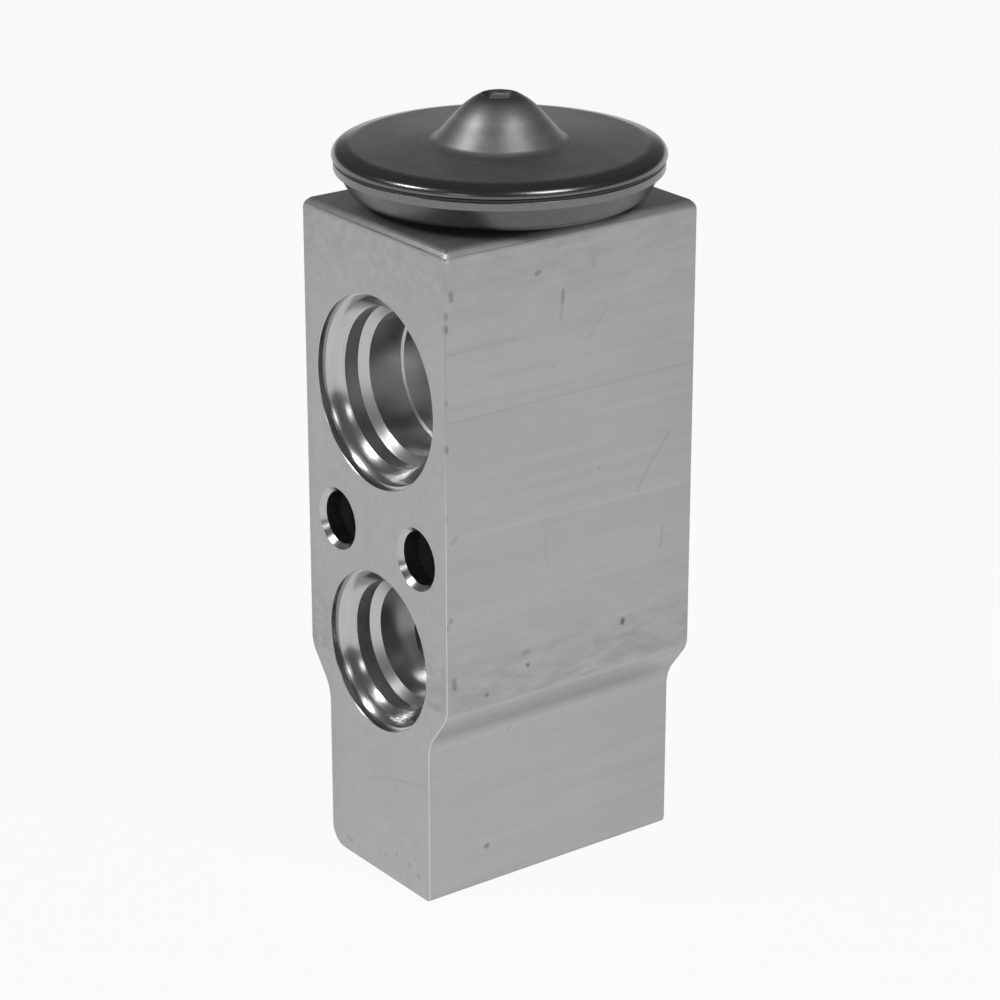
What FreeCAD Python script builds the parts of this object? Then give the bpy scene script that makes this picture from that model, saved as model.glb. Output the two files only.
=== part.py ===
import FreeCAD, Part
import math
import os
import re
import Sketcher

# Block-type expansion valve: an extruded aluminium block with four ports, a welded diaphragm head
# screwed into its top, and the valve train and adjusting screw on the vertical axis below it.
# Millimetres. X runs across the block, Y along the ports, Z up the valve's axis, and the origin
# is the middle of the block's underside.

SIZES = [
    # Block
    ("body_width", 28.0, "block across the ports"),
    ("body_depth", 35.7, "block from port face to port face"),
    ("body_height", 81.2, "block from underside to top"),
    ("foot_width", 20.55, "narrow foot across the ports"),
    ("foot_height", 20.5, "underside to the inner corner of the shoulder"),
    ("shoulder_rise", 4.77, "height of the sloping shoulder"),
    ("shoulder_outer_round", 3.0, "round where the shoulder meets the block's side"),
    ("shoulder_inner_round", 4.5, "round where the shoulder meets the foot"),
    ("foot_corner_round", 2.5, "round of the underside's long edges"),
    ("top_corner_round", 1.3, "round of the top's long edges"),
    # Suction ports and passage
    ("suction_height", 61.15, "underside to the suction passage's axis"),
    ("suction_mouth_radius", 11.2, "floor of the suction port's mouth"),
    ("suction_ring_radius", 9.55, "land of the pipe's ring seal"),
    ("suction_pipe_radius", 8.5, "bore that takes the pipe's end"),
    ("suction_passage_radius", 8.1, "passage between the suction ports"),
    ("suction_port_depth", 9.7, "depth of the bore that takes the pipe's end"),
    # Liquid ports
    ("inlet_height", 28.95, "underside to the inlet port's axis"),
    ("outlet_height", 30.9, "underside to the outlet port's axis"),
    ("liquid_mouth_radius", 9.5, "floor of a liquid port's mouth"),
    ("liquid_ring_radius", 7.95, "land of the pipe's ring seal"),
    ("liquid_pipe_radius", 6.9, "bore that takes the pipe's end"),
    ("liquid_port_depth", 8.85, "depth of a liquid port"),
    ("inlet_drilling_height", 28.2, "underside to the axis of the inlet drilling"),
    ("inlet_drilling_radius", 5.0, "drilling from the inlet port into the chamber"),
    ("inlet_drilling_end", 4.4, "end of the inlet drilling before the valve's axis"),
    ("outlet_drilling_height", 35.0, "underside to the axis of the outlet drilling"),
    ("outlet_drilling_radius", 2.6, "drilling from above the seat to the outlet port"),
    # Steps that every port shares
    ("port_mouth_ledge", 0.3, "width of the ledge at the foot of a port's mouth"),
    ("port_mouth_depth", 0.9, "depth of a port's mouth"),
    ("port_lead_in", 0.6, "first cone of a port, as wide as it is deep"),
    ("port_lead_step", 0.12, "short wall between the first two cones"),
    ("port_ring_depth", 2.5, "face to the ring seal's land"),
    ("port_ring_width", 1.85, "width of the ring seal's land"),
    ("port_cone_depth", 0.65, "depth of the cone from the land to the pipe's bore"),
    ("passage_cone_depth", 0.3, "cone between the pipe's bore and the suction passage"),
    # Mounting holes
    ("mounting_hole_height", 43.2, "underside to the mounting holes"),
    ("mounting_hole_spacing", 15.9, "between the mounting holes"),
    ("mounting_hole_radius", 3.2, "mounting hole for a clamping screw"),
    ("mounting_hole_chamfer", 0.6, "chamfer at each end of a mounting hole"),
    # Bores on the valve's axis
    ("chamber_radius", 5.5, "chamber of the ball and spring"),
    ("chamber_top", 30.2, "underside to the top of the chamber"),
    ("screw_bore_radius", 6.0, "threaded bore for the adjusting screw"),
    ("screw_bore_depth", 11.6, "depth of the threaded bore"),
    ("screw_bore_chamfer", 0.6, "chamfer at the threaded bore's mouth"),
    ("orifice_radius", 1.8, "hole through the seat"),
    ("seat_ring_radius", 3.4, "outside of the pressed seat ring"),
    ("seat_ring_length", 1.6, "height of the seat ring"),
    ("seat_chamfer", 0.5, "chamfer that the ball closes on"),
    ("neck_socket_radius", 10.0, "threaded socket for the head's neck"),
    ("neck_socket_depth", 8.0, "depth of the threaded socket"),
    ("gasket_recess_radius", 11.4, "recess for the head's gasket"),
    ("gasket_recess_depth", 1.3, "depth of the gasket's recess"),
    ("rod_opening_radius", 6.0, "opening from the socket into the suction passage"),
    ("seal_pocket_radius", 5.2, "pocket of the rod's ring seal"),
    ("seal_pocket_floor", 50.1, "underside to the floor of the seal's pocket"),
    ("rod_guide_floor", 47.0, "underside to the floor of the sensing rod's guide"),
    # Head
    ("lid_radius", 19.25, "rim of the lid"),
    ("lid_slope_width", 2.25, "rim to the edge of the lid's flat top"),
    ("lid_edge_height", 6.55, "block's top to the edge of the lid's flat top"),
    ("lid_dome", 0.3, "rise of the lid's top to the foot of the boss"),
    ("lid_slope_drop", 0.5, "fall from the flat top to the rim"),
    ("lid_rim_round", 1.0, "round at the top of the rim"),
    ("lid_flat_round", 2.5, "round at the edge of the flat top"),
    ("lid_gap", 0.5, "space between the diaphragm and the lid"),
    ("lid_gap_slope", 0.6, "slope from the clamped flange to the space under the lid"),
    ("flange_width", 2.05, "rim to the inner edge of the clamped flanges"),
    ("weld_groove_depth", 0.45, "rim to the floor of the weld's groove"),
    ("weld_root", 0.2, "weld inside the floor of its groove"),
    ("weld_bead", 0.18, "weld that stands out from the floor of its groove"),
    ("weld_groove_chamfer", 0.25, "chamfer of the lid on the weld's groove"),
    ("lip_chamfer", 0.15, "chamfer of the lower cover's lip"),
    ("boss_foot_radius", 7.7, "foot of the boss"),
    ("boss_shoulder_radius", 3.9, "top of the boss's cone"),
    ("boss_shoulder_height", 4.3, "rise of the boss's cone"),
    ("boss_crest_radius", 1.9, "crest round the charging hole"),
    ("boss_crest_rise", 1.1, "rise from the cone to the crest"),
    ("boss_foot_round", 1.3, "round at the foot of the boss"),
    ("boss_shoulder_round", 1.6, "round at the top of the cone"),
    ("boss_crest_round", 0.3, "round of the crest"),
    ("boss_wall", 1.3, "wall of the boss, measured level"),
    ("plug_radius", 1.45, "head of the charge plug"),
    ("plug_shank_radius", 1.0, "charging hole"),
    ("plug_seat_depth", 0.9, "crest to the plug's seat"),
    ("plug_head_height", 0.5, "height of the plug's head"),
    ("plug_countersink", 0.6, "crest to the lower edge of the countersink"),
    ("plug_hole_length", 0.6, "length of the charging hole"),
    ("diaphragm_thickness", 0.15, "sheet of the diaphragm"),
    ("diaphragm_wave_height", 0.35, "depth of the diaphragm's corrugations"),
    ("diaphragm_wave_start", 9.6, "inner edge of the corrugations"),
    ("diaphragm_flat_margin", 1.2, "flat sheet between the corrugations and the flanges"),
    ("diaphragm_height", 4.8, "block's top to the underside of the diaphragm"),
    ("lip_setback", 0.2, "rim to the lip of the lower cover"),
    ("lip_width", 1.05, "height of the lip"),
    ("bowl_setback", 0.4, "lip to the top of the bowl under it"),
    ("bowl_step", 0.1, "step from the lip to the bowl"),
    ("bowl_slope_width", 1.6, "top of the bowl to the turn at its bottom"),
    ("bowl_low_height", 0.9, "block's top to the turn of the bowl"),
    ("bowl_round", 2.2, "round at the turn of the bowl"),
    ("hub_radius", 12.4, "seat of the head on the block"),
    ("bowl_floor_height", 2.1, "block's top to the floor inside the bowl"),
    ("bowl_wall", 0.9, "wall at the bottom of the bowl"),
    ("neck_bore_radius", 7.0, "bore of the threaded neck"),
    ("neck_end_gap", 0.4, "end of the neck to the floor of its socket"),
    ("neck_chamfer", 0.4, "chamfer of the neck's end"),
    ("neck_bore_chamfer", 0.6, "chamfer at the top of the neck's bore"),
    # Valve train
    ("valve_stroke", 0.8, "travel of the valve train"),
    ("stop_clearance", 0.05, "left under the support at full travel"),
    ("support_radius", 8.6, "disc under the diaphragm"),
    ("support_hub_length", 5.5, "guided hub under the disc"),
    ("support_slot_width", 2.0, "slot that lets vapour up to the diaphragm"),
    ("support_slot_depth", 1.5, "depth of each slot into the hub"),
    ("support_edge_round", 0.5, "round of the disc's upper edge"),
    ("rod_radius", 3.3, "sensing rod"),
    ("rod_socket_depth", 4.9, "depth that the sensing rod enters the support"),
    ("rod_lower_end", 48.5, "underside to the sensing rod's lower end"),
    ("rod_chamfer", 0.4, "chamfer of the sensing rod's ends"),
    ("push_rod_radius", 1.2, "push rod"),
    ("push_rod_socket", 2.9, "depth that the push rod enters the sensing rod"),
    ("ball_radius", 2.4, "valve ball"),
    ("ball_clearance", 0.04, "left between the closed ball and its seat"),
    ("cup_radius", 2.8, "cup that holds the ball"),
    ("cup_mouth_radius", 2.2, "mouth of the cup"),
    ("carrier_flange_radius", 4.9, "flange that the spring bears on"),
    ("carrier_flange_top", 25.0, "underside to the top of the carrier's flange"),
    ("carrier_flange_thickness", 1.0, "thickness of the carrier's flange"),
    ("carrier_stem_radius", 3.0, "stem inside the spring"),
    ("carrier_stem_length", 2.5, "length of the stem below the flange"),
    ("stem_chamfer", 0.4, "chamfer of the stems inside the spring"),
    ("clip_thickness", 0.25, "sheet of the vibration clip"),
    ("clip_ring_radius", 4.6, "outside of the clip's ring"),
    ("clip_leg_width", 1.8, "width of each leg of the clip"),
    ("clip_leg_height", 3.4, "height of each leg of the clip"),
    ("clip_edge_drop", 0.1, "legs held back so that their side edges clear the round wall"),
    # Seals
    ("gasket_section_radius", 0.65, "section of the head's gasket"),
    ("rod_seal_section_radius", 0.9, "section of the rod's ring seal"),
    ("retainer_thickness", 0.8, "washer over the rod's ring seal"),
    ("screw_seal_section_radius", 0.58, "section of the adjusting screw's ring seal"),
    # Spring and adjusting screw
    ("spring_radius", 3.9, "middle of the spring's coil"),
    ("spring_wire_radius", 0.55, "wire of the spring"),
    ("spring_turns", 4.0, "turns of the spring"),
    ("spring_seat_bottom", 15.3, "underside to the screw's upper end"),
    ("spring_seat_flange", 1.0, "thickness of the spring seat's flange"),
    ("spring_seat_stub", 1.5, "height of the stub inside the spring"),
    ("screw_lower_end", 2.0, "underside to the adjusting screw's lower end"),
    ("screw_thread_length", 8.5, "threaded length of the adjusting screw"),
    ("screw_chamfer", 0.5, "chamfers of the adjusting screw"),
    ("screw_groove_bottom", 10.75, "lower end of the screw to its seal groove"),
    ("screw_groove_width", 1.3, "width of the seal groove"),
    ("screw_groove_radius", 4.25, "bottom of the seal groove"),
    ("hexagon_width", 5.0, "across the flats of the screw's hexagon socket"),
    ("hexagon_depth", 4.5, "depth of the hexagon socket"),
    # Fits
    ("running_clearance", 0.05, "radial play of rods and seals that slide"),
    ("thread_clearance", 0.06, "radial play of threads"),
    ("hub_clearance", 0.08, "radial play of sliding hubs and of the screw"),
    ("press_gap", 0.01, "left between pieces that are pressed together"),
]
SIZE_NAMES = {name for name, millimetres, meaning in SIZES}

doc = FreeCAD.newDocument("ExpansionValve")
sheet = doc.addObject("Spreadsheet::Sheet", "Sizes")
for row, (name, millimetres, meaning) in enumerate(SIZES, start=1):
    sheet.set("A%d" % row, name)
    sheet.set("B%d" % row, str(millimetres))
    sheet.set("C%d" % row, meaning)
    sheet.setAlias("B%d" % row, name)
doc.recompute()


def linked(expression):
    """The expression with each size name pointing at its cell of the sheet."""
    return re.sub(r"[a-z_]+", lambda word: "Sizes." * (word.group() in SIZE_NAMES) + word.group(), expression)


def value(expression):
    """What an expression in the size names comes to."""
    return float(sheet.evalExpression(linked(expression)))


# Sketches and features

def new_body(label):
    """Empty body of one piece."""
    body = doc.addObject("PartDesign::Body", label)
    body.Label = label
    return body


def new_sketch(body, name, plane, raised="0", level="0"):
    """Sketch on one of the body's own planes, raised along its normal, its origin moved up to a level."""
    sketch = body.newObject("Sketcher::SketchObject", name)
    origin_plane = next(item for item in body.Origin.OriginFeatures if item.Role == plane)
    sketch.AttachmentSupport = [(origin_plane, "")]
    sketch.MapMode = "FlatFace"
    sketch.setExpression("AttachmentOffset.Base.y", linked(level))
    sketch.setExpression("AttachmentOffset.Base.z", linked(raised))
    return sketch


def drive(sketch, kind, geometry, point, expression):
    """Distance of a point from the sketch's origin, bound to the sheet."""
    index = sketch.addConstraint(Sketcher.Constraint(kind, -1, 1, geometry, point, value(expression)))
    sketch.setExpression("Constraints[%d]" % index, linked(expression))


def draw_outline(sketch, corners):
    """Closed outline of straight lines, with both distances of every corner bound to the sheet."""
    points = [FreeCAD.Vector(value(across), value(up), 0) for across, up in corners]
    first = sketch.GeometryCount
    count = len(points)
    for number in range(count):
        sketch.addGeometry(Part.LineSegment(points[number], points[(number + 1) % count]), False)
    for number in range(count):
        following = first + (number + 1) % count
        sketch.addConstraint(Sketcher.Constraint("Coincident", first + number, 2, following, 1))
    for number, (across, up) in enumerate(corners):
        drive(sketch, "DistanceX", first + number, 1, across)
        drive(sketch, "DistanceY", first + number, 1, up)


def draw_circle(sketch, across, up, radius):
    """Circle whose centre and radius are bound to the sheet."""
    centre = FreeCAD.Vector(value(across), value(up), 0)
    index = sketch.addGeometry(Part.Circle(centre, FreeCAD.Vector(0, 0, 1), value(radius)), False)
    drive(sketch, "DistanceX", index, 3, across)
    drive(sketch, "DistanceY", index, 3, up)
    held = sketch.addConstraint(Sketcher.Constraint("Radius", index, value(radius)))
    sketch.setExpression("Constraints[%d]" % held, linked(radius))


def turn(body, name, corners):
    """Solid turned about the valve's axis from corners given as radius and height."""
    sketch = new_sketch(body, name + "_outline", "XZ_Plane")
    draw_outline(sketch, corners)
    feature = body.newObject("PartDesign::Revolution", name)
    feature.Profile = sketch
    feature.ReferenceAxis = (sketch, ["V_Axis"])
    feature.Angle = 360
    doc.recompute()
    return feature


def bore(body, name, corners):
    """Bore about the valve's axis, cut from corners given as radius and height."""
    sketch = new_sketch(body, name + "_outline", "XZ_Plane")
    draw_outline(sketch, corners)
    return cut_round(body, name, sketch, "V_Axis")


def bore_from_faces(body, name, level, corners):
    """Bore about a line along Y at a level, cut from corners given as place along Y and radius."""
    sketch = new_sketch(body, name + "_outline", "YZ_Plane", level=level)
    draw_outline(sketch, corners)
    return cut_round(body, name, sketch, "H_Axis")


def cut_round(body, name, sketch, axis):
    """Groove of a sketch about one of its axes, which has to take material away."""
    before = body.Shape.Volume
    feature = body.newObject("PartDesign::Groove", name)
    feature.Profile = sketch
    feature.ReferenceAxis = (sketch, [axis])
    feature.Angle = 360
    doc.recompute()
    if not body.Shape.Volume < before:
        raise RuntimeError(name + " cut nothing")
    return feature


def cut_straight(body, name, sketch, length, reverse=False, both_ways=False):
    """Pocket of a sketch, which has to take material away."""
    before = body.Shape.Volume
    feature = body.newObject("PartDesign::Pocket", name)
    feature.Profile = sketch
    feature.setExpression("Length", linked(length))
    feature.Reversed = reverse
    feature.Midplane = both_ways
    doc.recompute()
    if not body.Shape.Volume < before:
        raise RuntimeError(name + " cut nothing")
    return feature


def edges_where(feature, wanted):
    """Names of the edges of a feature that pass a test."""
    return ["Edge%d" % number for number, edge in enumerate(feature.Shape.Edges, start=1) if wanted(edge)]


def long_edges(feature, across, up):
    """Edges along Y at a place across the block, on both sides, and at a height."""
    def wanted(edge):
        start, end = edge.Vertexes[0].Point, edge.Vertexes[-1].Point
        along = abs(start.y - end.y) > value("body_depth") / 2
        return along and abs(abs(start.x) - value(across)) < 0.01 and abs(start.z - value(up)) < 0.01
    return edges_where(feature, wanted)


def rings(feature, radius, up):
    """Round edges about the valve's axis of a radius and at a height."""
    def wanted(edge):
        if not isinstance(edge.Curve, Part.Circle):
            return False
        circle = edge.Curve
        return abs(circle.Radius - value(radius)) < 0.01 and abs(circle.Center.z - value(up)) < 0.01
    return edges_where(feature, wanted)


def soften(body, kind, name, size_property, size_expression, base, edges):
    """Fillet or chamfer on edges found by their place."""
    if not edges:
        raise RuntimeError(name + " found no edge")
    feature = body.newObject("PartDesign::" + kind, name)
    feature.Base = (base, edges)
    feature.setExpression(size_property, linked(size_expression))
    doc.recompute()
    return feature


def fillet(body, name, radius, base, edges):
    """Round edges found by their place."""
    return soften(body, "Fillet", name, "Radius", radius, base, edges)


def ring_seal(label, middle_radius, section_radius, level):
    """Ring seal about the valve's axis."""
    ring = doc.addObject("Part::Torus", label)
    ring.Label = label
    ring.setExpression("Radius1", linked(middle_radius))
    ring.setExpression("Radius2", linked(section_radius))
    ring.setExpression("Placement.Base.z", linked(level))
    doc.recompute()
    return ring


# Block

def port_steps(face, inwards, mouth, ring, pipe, depth):
    """Corners of a stepped port, from the axis at its face to its full depth: place along Y and radius."""
    def at(depth_expression):
        return "%s %s (%s)" % (face, inwards, depth_expression)
    lead_end = "port_mouth_depth + port_lead_in"
    ring_end = "port_ring_depth + port_ring_width"
    return [
        (at("0"), mouth + " + port_mouth_ledge"),
        (at("port_mouth_depth"), mouth + " + port_mouth_ledge"),
        (at("port_mouth_depth"), mouth),
        (at(lead_end), mouth + " - port_lead_in"),
        (at(lead_end + " + port_lead_step"), mouth + " - port_lead_in"),
        (at("port_ring_depth"), ring),
        (at(ring_end), ring),
        (at(ring_end + " + port_cone_depth"), pipe),
        (at(depth), pipe),
    ]


def make_valve_body():
    """Extruded block, milled on its two port faces and bored from them, from the top and from below."""
    body = new_body("valve_body")
    outline = new_sketch(body, "block_outline", "XZ_Plane")
    right = [
        ("foot_width / 2", "0"),
        ("foot_width / 2", "foot_height"),
        ("body_width / 2", "foot_height + shoulder_rise"),
        ("body_width / 2", "body_height"),
    ]
    left = [("-" + across, up) for across, up in reversed(right)]
    draw_outline(outline, right + left)
    block = body.newObject("PartDesign::Pad", "block")
    block.Profile = outline
    block.setExpression("Length", linked("body_depth"))
    block.Midplane = True
    doc.recompute()
    rounds = [
        ("foot_corners", "foot_corner_round", "foot_width / 2", "0"),
        ("shoulder_inside", "shoulder_inner_round", "foot_width / 2", "foot_height"),
        ("shoulder_outside", "shoulder_outer_round", "body_width / 2", "foot_height + shoulder_rise"),
        ("top_corners", "top_corner_round", "body_width / 2", "body_height"),
    ]
    base = block
    for name, radius, across, up in rounds:
        base = fillet(body, name, radius, base, long_edges(base, across, up))

    front, back = "-body_depth / 2", "body_depth / 2"
    suction = ("suction_mouth_radius", "suction_ring_radius", "suction_pipe_radius", "suction_port_depth")
    liquid = ("liquid_mouth_radius", "liquid_ring_radius", "liquid_pipe_radius", "liquid_port_depth")
    passage_depth = "suction_port_depth + passage_cone_depth"
    passage_front = ("%s + %s" % (front, passage_depth), "suction_passage_radius")
    passage_back = ("%s - (%s)" % (back, passage_depth), "suction_passage_radius")
    front_steps = port_steps(front, "+", *suction)
    back_steps = port_steps(back, "-", *suction)
    suction_corners = [(front, "0")] + front_steps + [passage_front]
    suction_corners += [passage_back] + back_steps[::-1] + [(back, "0")]
    bore_from_faces(body, "suction_passage", "suction_height", suction_corners)
    inlet_floor = "%s + liquid_port_depth" % front
    inlet_corners = [(front, "0")] + port_steps(front, "+", *liquid) + [(inlet_floor, "0")]
    bore_from_faces(body, "inlet_port", "inlet_height", inlet_corners)
    outlet_floor = "%s - liquid_port_depth" % back
    outlet_corners = [(back, "0")] + port_steps(back, "-", *liquid) + [(outlet_floor, "0")]
    bore_from_faces(body, "outlet_port", "outlet_height", outlet_corners)

    drillings = [
        ("inlet_drilling", "inlet_drilling_height", "inlet_drilling_radius",
         "%s + liquid_port_depth - port_cone_depth" % front, "-inlet_drilling_end"),
        ("outlet_drilling", "outlet_drilling_height", "outlet_drilling_radius",
         "%s - liquid_port_depth + port_cone_depth" % back, "-outlet_drilling_radius"),
    ]
    for name, level, radius, start, end in drillings:
        corners = [(start, "0"), (start, radius), (end, radius), (end, "0")]
        bore_from_faces(body, name, level, corners)

    for name, side in (("left_mounting_hole", "-"), ("right_mounting_hole", "")):
        make_mounting_hole(body, name, side + "mounting_hole_spacing / 2")

    socket_floor = "body_height - neck_socket_depth"
    bore(body, "neck_socket", [
        ("0", "body_height"),
        ("gasket_recess_radius", "body_height"),
        ("gasket_recess_radius", "body_height - gasket_recess_depth"),
        ("neck_socket_radius", "body_height - gasket_recess_depth"),
        ("neck_socket_radius", socket_floor),
        ("rod_opening_radius", socket_floor),
        ("rod_opening_radius", "suction_height"),
        ("0", "suction_height"),
    ])
    bore(body, "rod_guide", [
        ("0", "suction_height"),
        ("seal_pocket_radius", "suction_height"),
        ("seal_pocket_radius", "seal_pocket_floor"),
        ("rod_radius + running_clearance", "seal_pocket_floor"),
        ("rod_radius + running_clearance", "rod_guide_floor"),
        ("push_rod_radius + running_clearance", "rod_guide_floor"),
        ("push_rod_radius + running_clearance", "outlet_drilling_height"),
        ("0", "outlet_drilling_height"),
    ])
    seat_shoulder = "chamber_top + seat_ring_length"
    bore(body, "valve_chamber", [
        ("0", "0"),
        ("screw_bore_radius + screw_bore_chamfer", "0"),
        ("screw_bore_radius", "screw_bore_chamfer"),
        ("screw_bore_radius", "screw_bore_depth"),
        ("chamber_radius", "screw_bore_depth"),
        ("chamber_radius", "chamber_top"),
        ("seat_ring_radius + press_gap", "chamber_top"),
        ("seat_ring_radius + press_gap", seat_shoulder),
        ("orifice_radius", seat_shoulder),
        ("orifice_radius", "outlet_drilling_height"),
        ("0", "outlet_drilling_height"),
    ])
    return body


def make_mounting_hole(body, name, across):
    """Plain hole through both port faces, chamfered at each end."""
    sketch = new_sketch(body, name + "_circle", "XZ_Plane")
    draw_circle(sketch, across, "mounting_hole_height", "mounting_hole_radius")
    hole = cut_straight(body, name, sketch, "body_depth", both_ways=True)
    def mouth(edge):
        if not isinstance(edge.Curve, Part.Circle):
            return False
        circle = edge.Curve
        beside = abs(circle.Center.x - value(across)) < 0.01
        return beside and abs(circle.Center.z - value("mounting_hole_height")) < 0.01
    soften(body, "Chamfer", name + "_chamfer", "Size", "mounting_hole_chamfer", hole, edges_where(hole, mouth))


# Head

LID_EDGE = "body_height + lid_edge_height"
RIM_TOP = LID_EDGE + " - lid_slope_drop"
DIAPHRAGM_BOTTOM = "body_height + diaphragm_height"
DIAPHRAGM_TOP = DIAPHRAGM_BOTTOM + " + diaphragm_thickness"
RIM_BOTTOM = DIAPHRAGM_TOP + " + weld_groove_chamfer"
LID_UNDERSIDE = DIAPHRAGM_TOP + " + lid_gap"
BOSS_FOOT = LID_EDGE + " + lid_dome"
BOSS_SHOULDER = BOSS_FOOT + " + boss_shoulder_height"
BOSS_CREST = BOSS_SHOULDER + " + boss_crest_rise"
PLUG_SEAT = BOSS_CREST + " - plug_seat_depth"
PLUG_HOLE_END = PLUG_SEAT + " - plug_hole_length"
LID_FLAT_RADIUS = "lid_radius - lid_slope_width"
FLANGE_INNER_RADIUS = "lid_radius - flange_width"
WELD_GROOVE_RADIUS = "lid_radius - weld_groove_depth"
DIAPHRAGM_RADIUS = WELD_GROOVE_RADIUS + " - weld_root"
LIP_RADIUS = "lid_radius - lip_setback"
BOWL_RADIUS = LIP_RADIUS + " - bowl_setback"
BOWL_LOW_RADIUS = BOWL_RADIUS + " - bowl_slope_width"


def boss_inside_radius(level):
    """Radius of the boss's inner cone at a level, a level wall inside the outer cone."""
    taper = "(boss_foot_radius - boss_shoulder_radius) / boss_shoulder_height"
    return "boss_foot_radius - boss_wall - (%s - (%s)) * %s" % (level, BOSS_FOOT, taper)


def make_upper_cover():
    """Lid pressed from sheet, with the hollow boss that the head is charged through."""
    body = new_body("upper_cover")
    lid = turn(body, "lid", [
        ("plug_shank_radius", PLUG_HOLE_END),
        ("plug_shank_radius", PLUG_SEAT),
        ("plug_radius + press_gap", PLUG_SEAT),
        ("plug_radius + press_gap", BOSS_CREST + " - plug_countersink"),
        ("boss_crest_radius", BOSS_CREST),
        ("boss_shoulder_radius", BOSS_SHOULDER),
        ("boss_foot_radius", BOSS_FOOT),
        (LID_FLAT_RADIUS, LID_EDGE),
        ("lid_radius", RIM_TOP),
        ("lid_radius", RIM_BOTTOM),
        (WELD_GROOVE_RADIUS, DIAPHRAGM_TOP),
        (FLANGE_INNER_RADIUS, DIAPHRAGM_TOP),
        (FLANGE_INNER_RADIUS + " - lid_gap_slope", LID_UNDERSIDE),
        (boss_inside_radius(LID_UNDERSIDE), LID_UNDERSIDE),
        (boss_inside_radius(PLUG_HOLE_END), PLUG_HOLE_END),
    ])
    rounds = [
        ("rim_round", "lid_rim_round", "lid_radius", RIM_TOP),
        ("flat_round", "lid_flat_round", LID_FLAT_RADIUS, LID_EDGE),
        ("boss_foot_fillet", "boss_foot_round", "boss_foot_radius", BOSS_FOOT),
        ("boss_shoulder_fillet", "boss_shoulder_round", "boss_shoulder_radius", BOSS_SHOULDER),
        ("boss_crest_fillet", "boss_crest_round", "boss_crest_radius", BOSS_CREST),
    ]
    base = lid
    for name, radius, ring_radius, up in rounds:
        base = fillet(body, name, radius, base, rings(base, ring_radius, up))
    return body


def make_charge_plug():
    """Headed plug welded into the charging hole."""
    body = new_body("charge_plug")
    plug = turn(body, "plug", [
        ("0", PLUG_HOLE_END),
        ("plug_shank_radius - press_gap", PLUG_HOLE_END),
        ("plug_shank_radius - press_gap", PLUG_SEAT),
        ("plug_radius", PLUG_SEAT),
        ("plug_radius", PLUG_SEAT + " + plug_head_height"),
        ("0", PLUG_SEAT + " + plug_head_height"),
    ])
    top_edge = rings(plug, "plug_radius", PLUG_SEAT + " + plug_head_height")
    fillet(body, "plug_dome", "plug_head_height * 0.8", plug, top_edge)
    return body


def make_rim_weld():
    """Weld seam that joins the two covers and the diaphragm's edge."""
    body = new_body("rim_weld")
    weld_radius = WELD_GROOVE_RADIUS + " + weld_bead"
    on_lip = "weld_bead * lip_chamfer / (weld_groove_depth - lip_setback)"
    on_lid = "weld_bead * weld_groove_chamfer / weld_groove_depth"
    turn(body, "seam", [
        (DIAPHRAGM_RADIUS, DIAPHRAGM_BOTTOM),
        (WELD_GROOVE_RADIUS, DIAPHRAGM_BOTTOM),
        (weld_radius, DIAPHRAGM_BOTTOM + " - " + on_lip),
        (weld_radius, DIAPHRAGM_TOP + " + " + on_lid),
        (WELD_GROOVE_RADIUS, DIAPHRAGM_TOP),
        (DIAPHRAGM_RADIUS, DIAPHRAGM_TOP),
    ])
    return body


def make_diaphragm():
    """Thin sheet with round corrugations, clamped at its edge and flat in the middle."""
    body = new_body("diaphragm")
    corrugated = "(%s - diaphragm_flat_margin - diaphragm_wave_start)" % FLANGE_INNER_RADIUS
    under = [("0", DIAPHRAGM_BOTTOM), ("diaphragm_wave_start", DIAPHRAGM_BOTTOM)]
    for half_wave in (1, 2, 3, 4):
        across = "diaphragm_wave_start + %s * %d / 4" % (corrugated, half_wave)
        up = DIAPHRAGM_BOTTOM + " - diaphragm_wave_height" * (half_wave % 2)
        under.append((across, up))
    under.append((DIAPHRAGM_RADIUS + " - press_gap", DIAPHRAGM_BOTTOM))
    over = [(across, up + " + diaphragm_thickness") for across, up in reversed(under)]
    turn(body, "sheet", under + over)
    return body


def make_lower_cover():
    """Bowl under the diaphragm with the threaded neck that screws into the block."""
    body = new_body("lower_cover")
    neck_end = "body_height - neck_socket_depth + neck_end_gap"
    neck_radius = "neck_socket_radius - thread_clearance"
    lip_bottom = DIAPHRAGM_BOTTOM + " - lip_width"
    floor = "body_height + bowl_floor_height"
    bowl = turn(body, "bowl", [
        ("neck_bore_radius", neck_end),
        (neck_radius + " - neck_chamfer", neck_end),
        (neck_radius, neck_end + " + neck_chamfer"),
        (neck_radius, "body_height"),
        ("hub_radius", "body_height"),
        (BOWL_LOW_RADIUS, "body_height + bowl_low_height"),
        (BOWL_RADIUS, lip_bottom + " - bowl_step"),
        (LIP_RADIUS, lip_bottom),
        (LIP_RADIUS, DIAPHRAGM_BOTTOM + " - lip_chamfer"),
        (WELD_GROOVE_RADIUS, DIAPHRAGM_BOTTOM),
        (FLANGE_INNER_RADIUS, DIAPHRAGM_BOTTOM),
        (BOWL_LOW_RADIUS + " - bowl_wall", floor),
        ("neck_bore_radius + neck_bore_chamfer", floor),
        ("neck_bore_radius", floor + " - neck_bore_chamfer"),
    ])
    turn_edge = rings(bowl, BOWL_LOW_RADIUS, "body_height + bowl_low_height")
    fillet(body, "bowl_turn", "bowl_round", bowl, turn_edge)
    return body


def make_head_gasket():
    """Ring seal round the root of the neck, in the block's recess."""
    middle = "neck_socket_radius + gasket_section_radius + press_gap"
    return ring_seal("head_gasket", middle, "gasket_section_radius", "body_height - gasket_section_radius")


# Valve train

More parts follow.
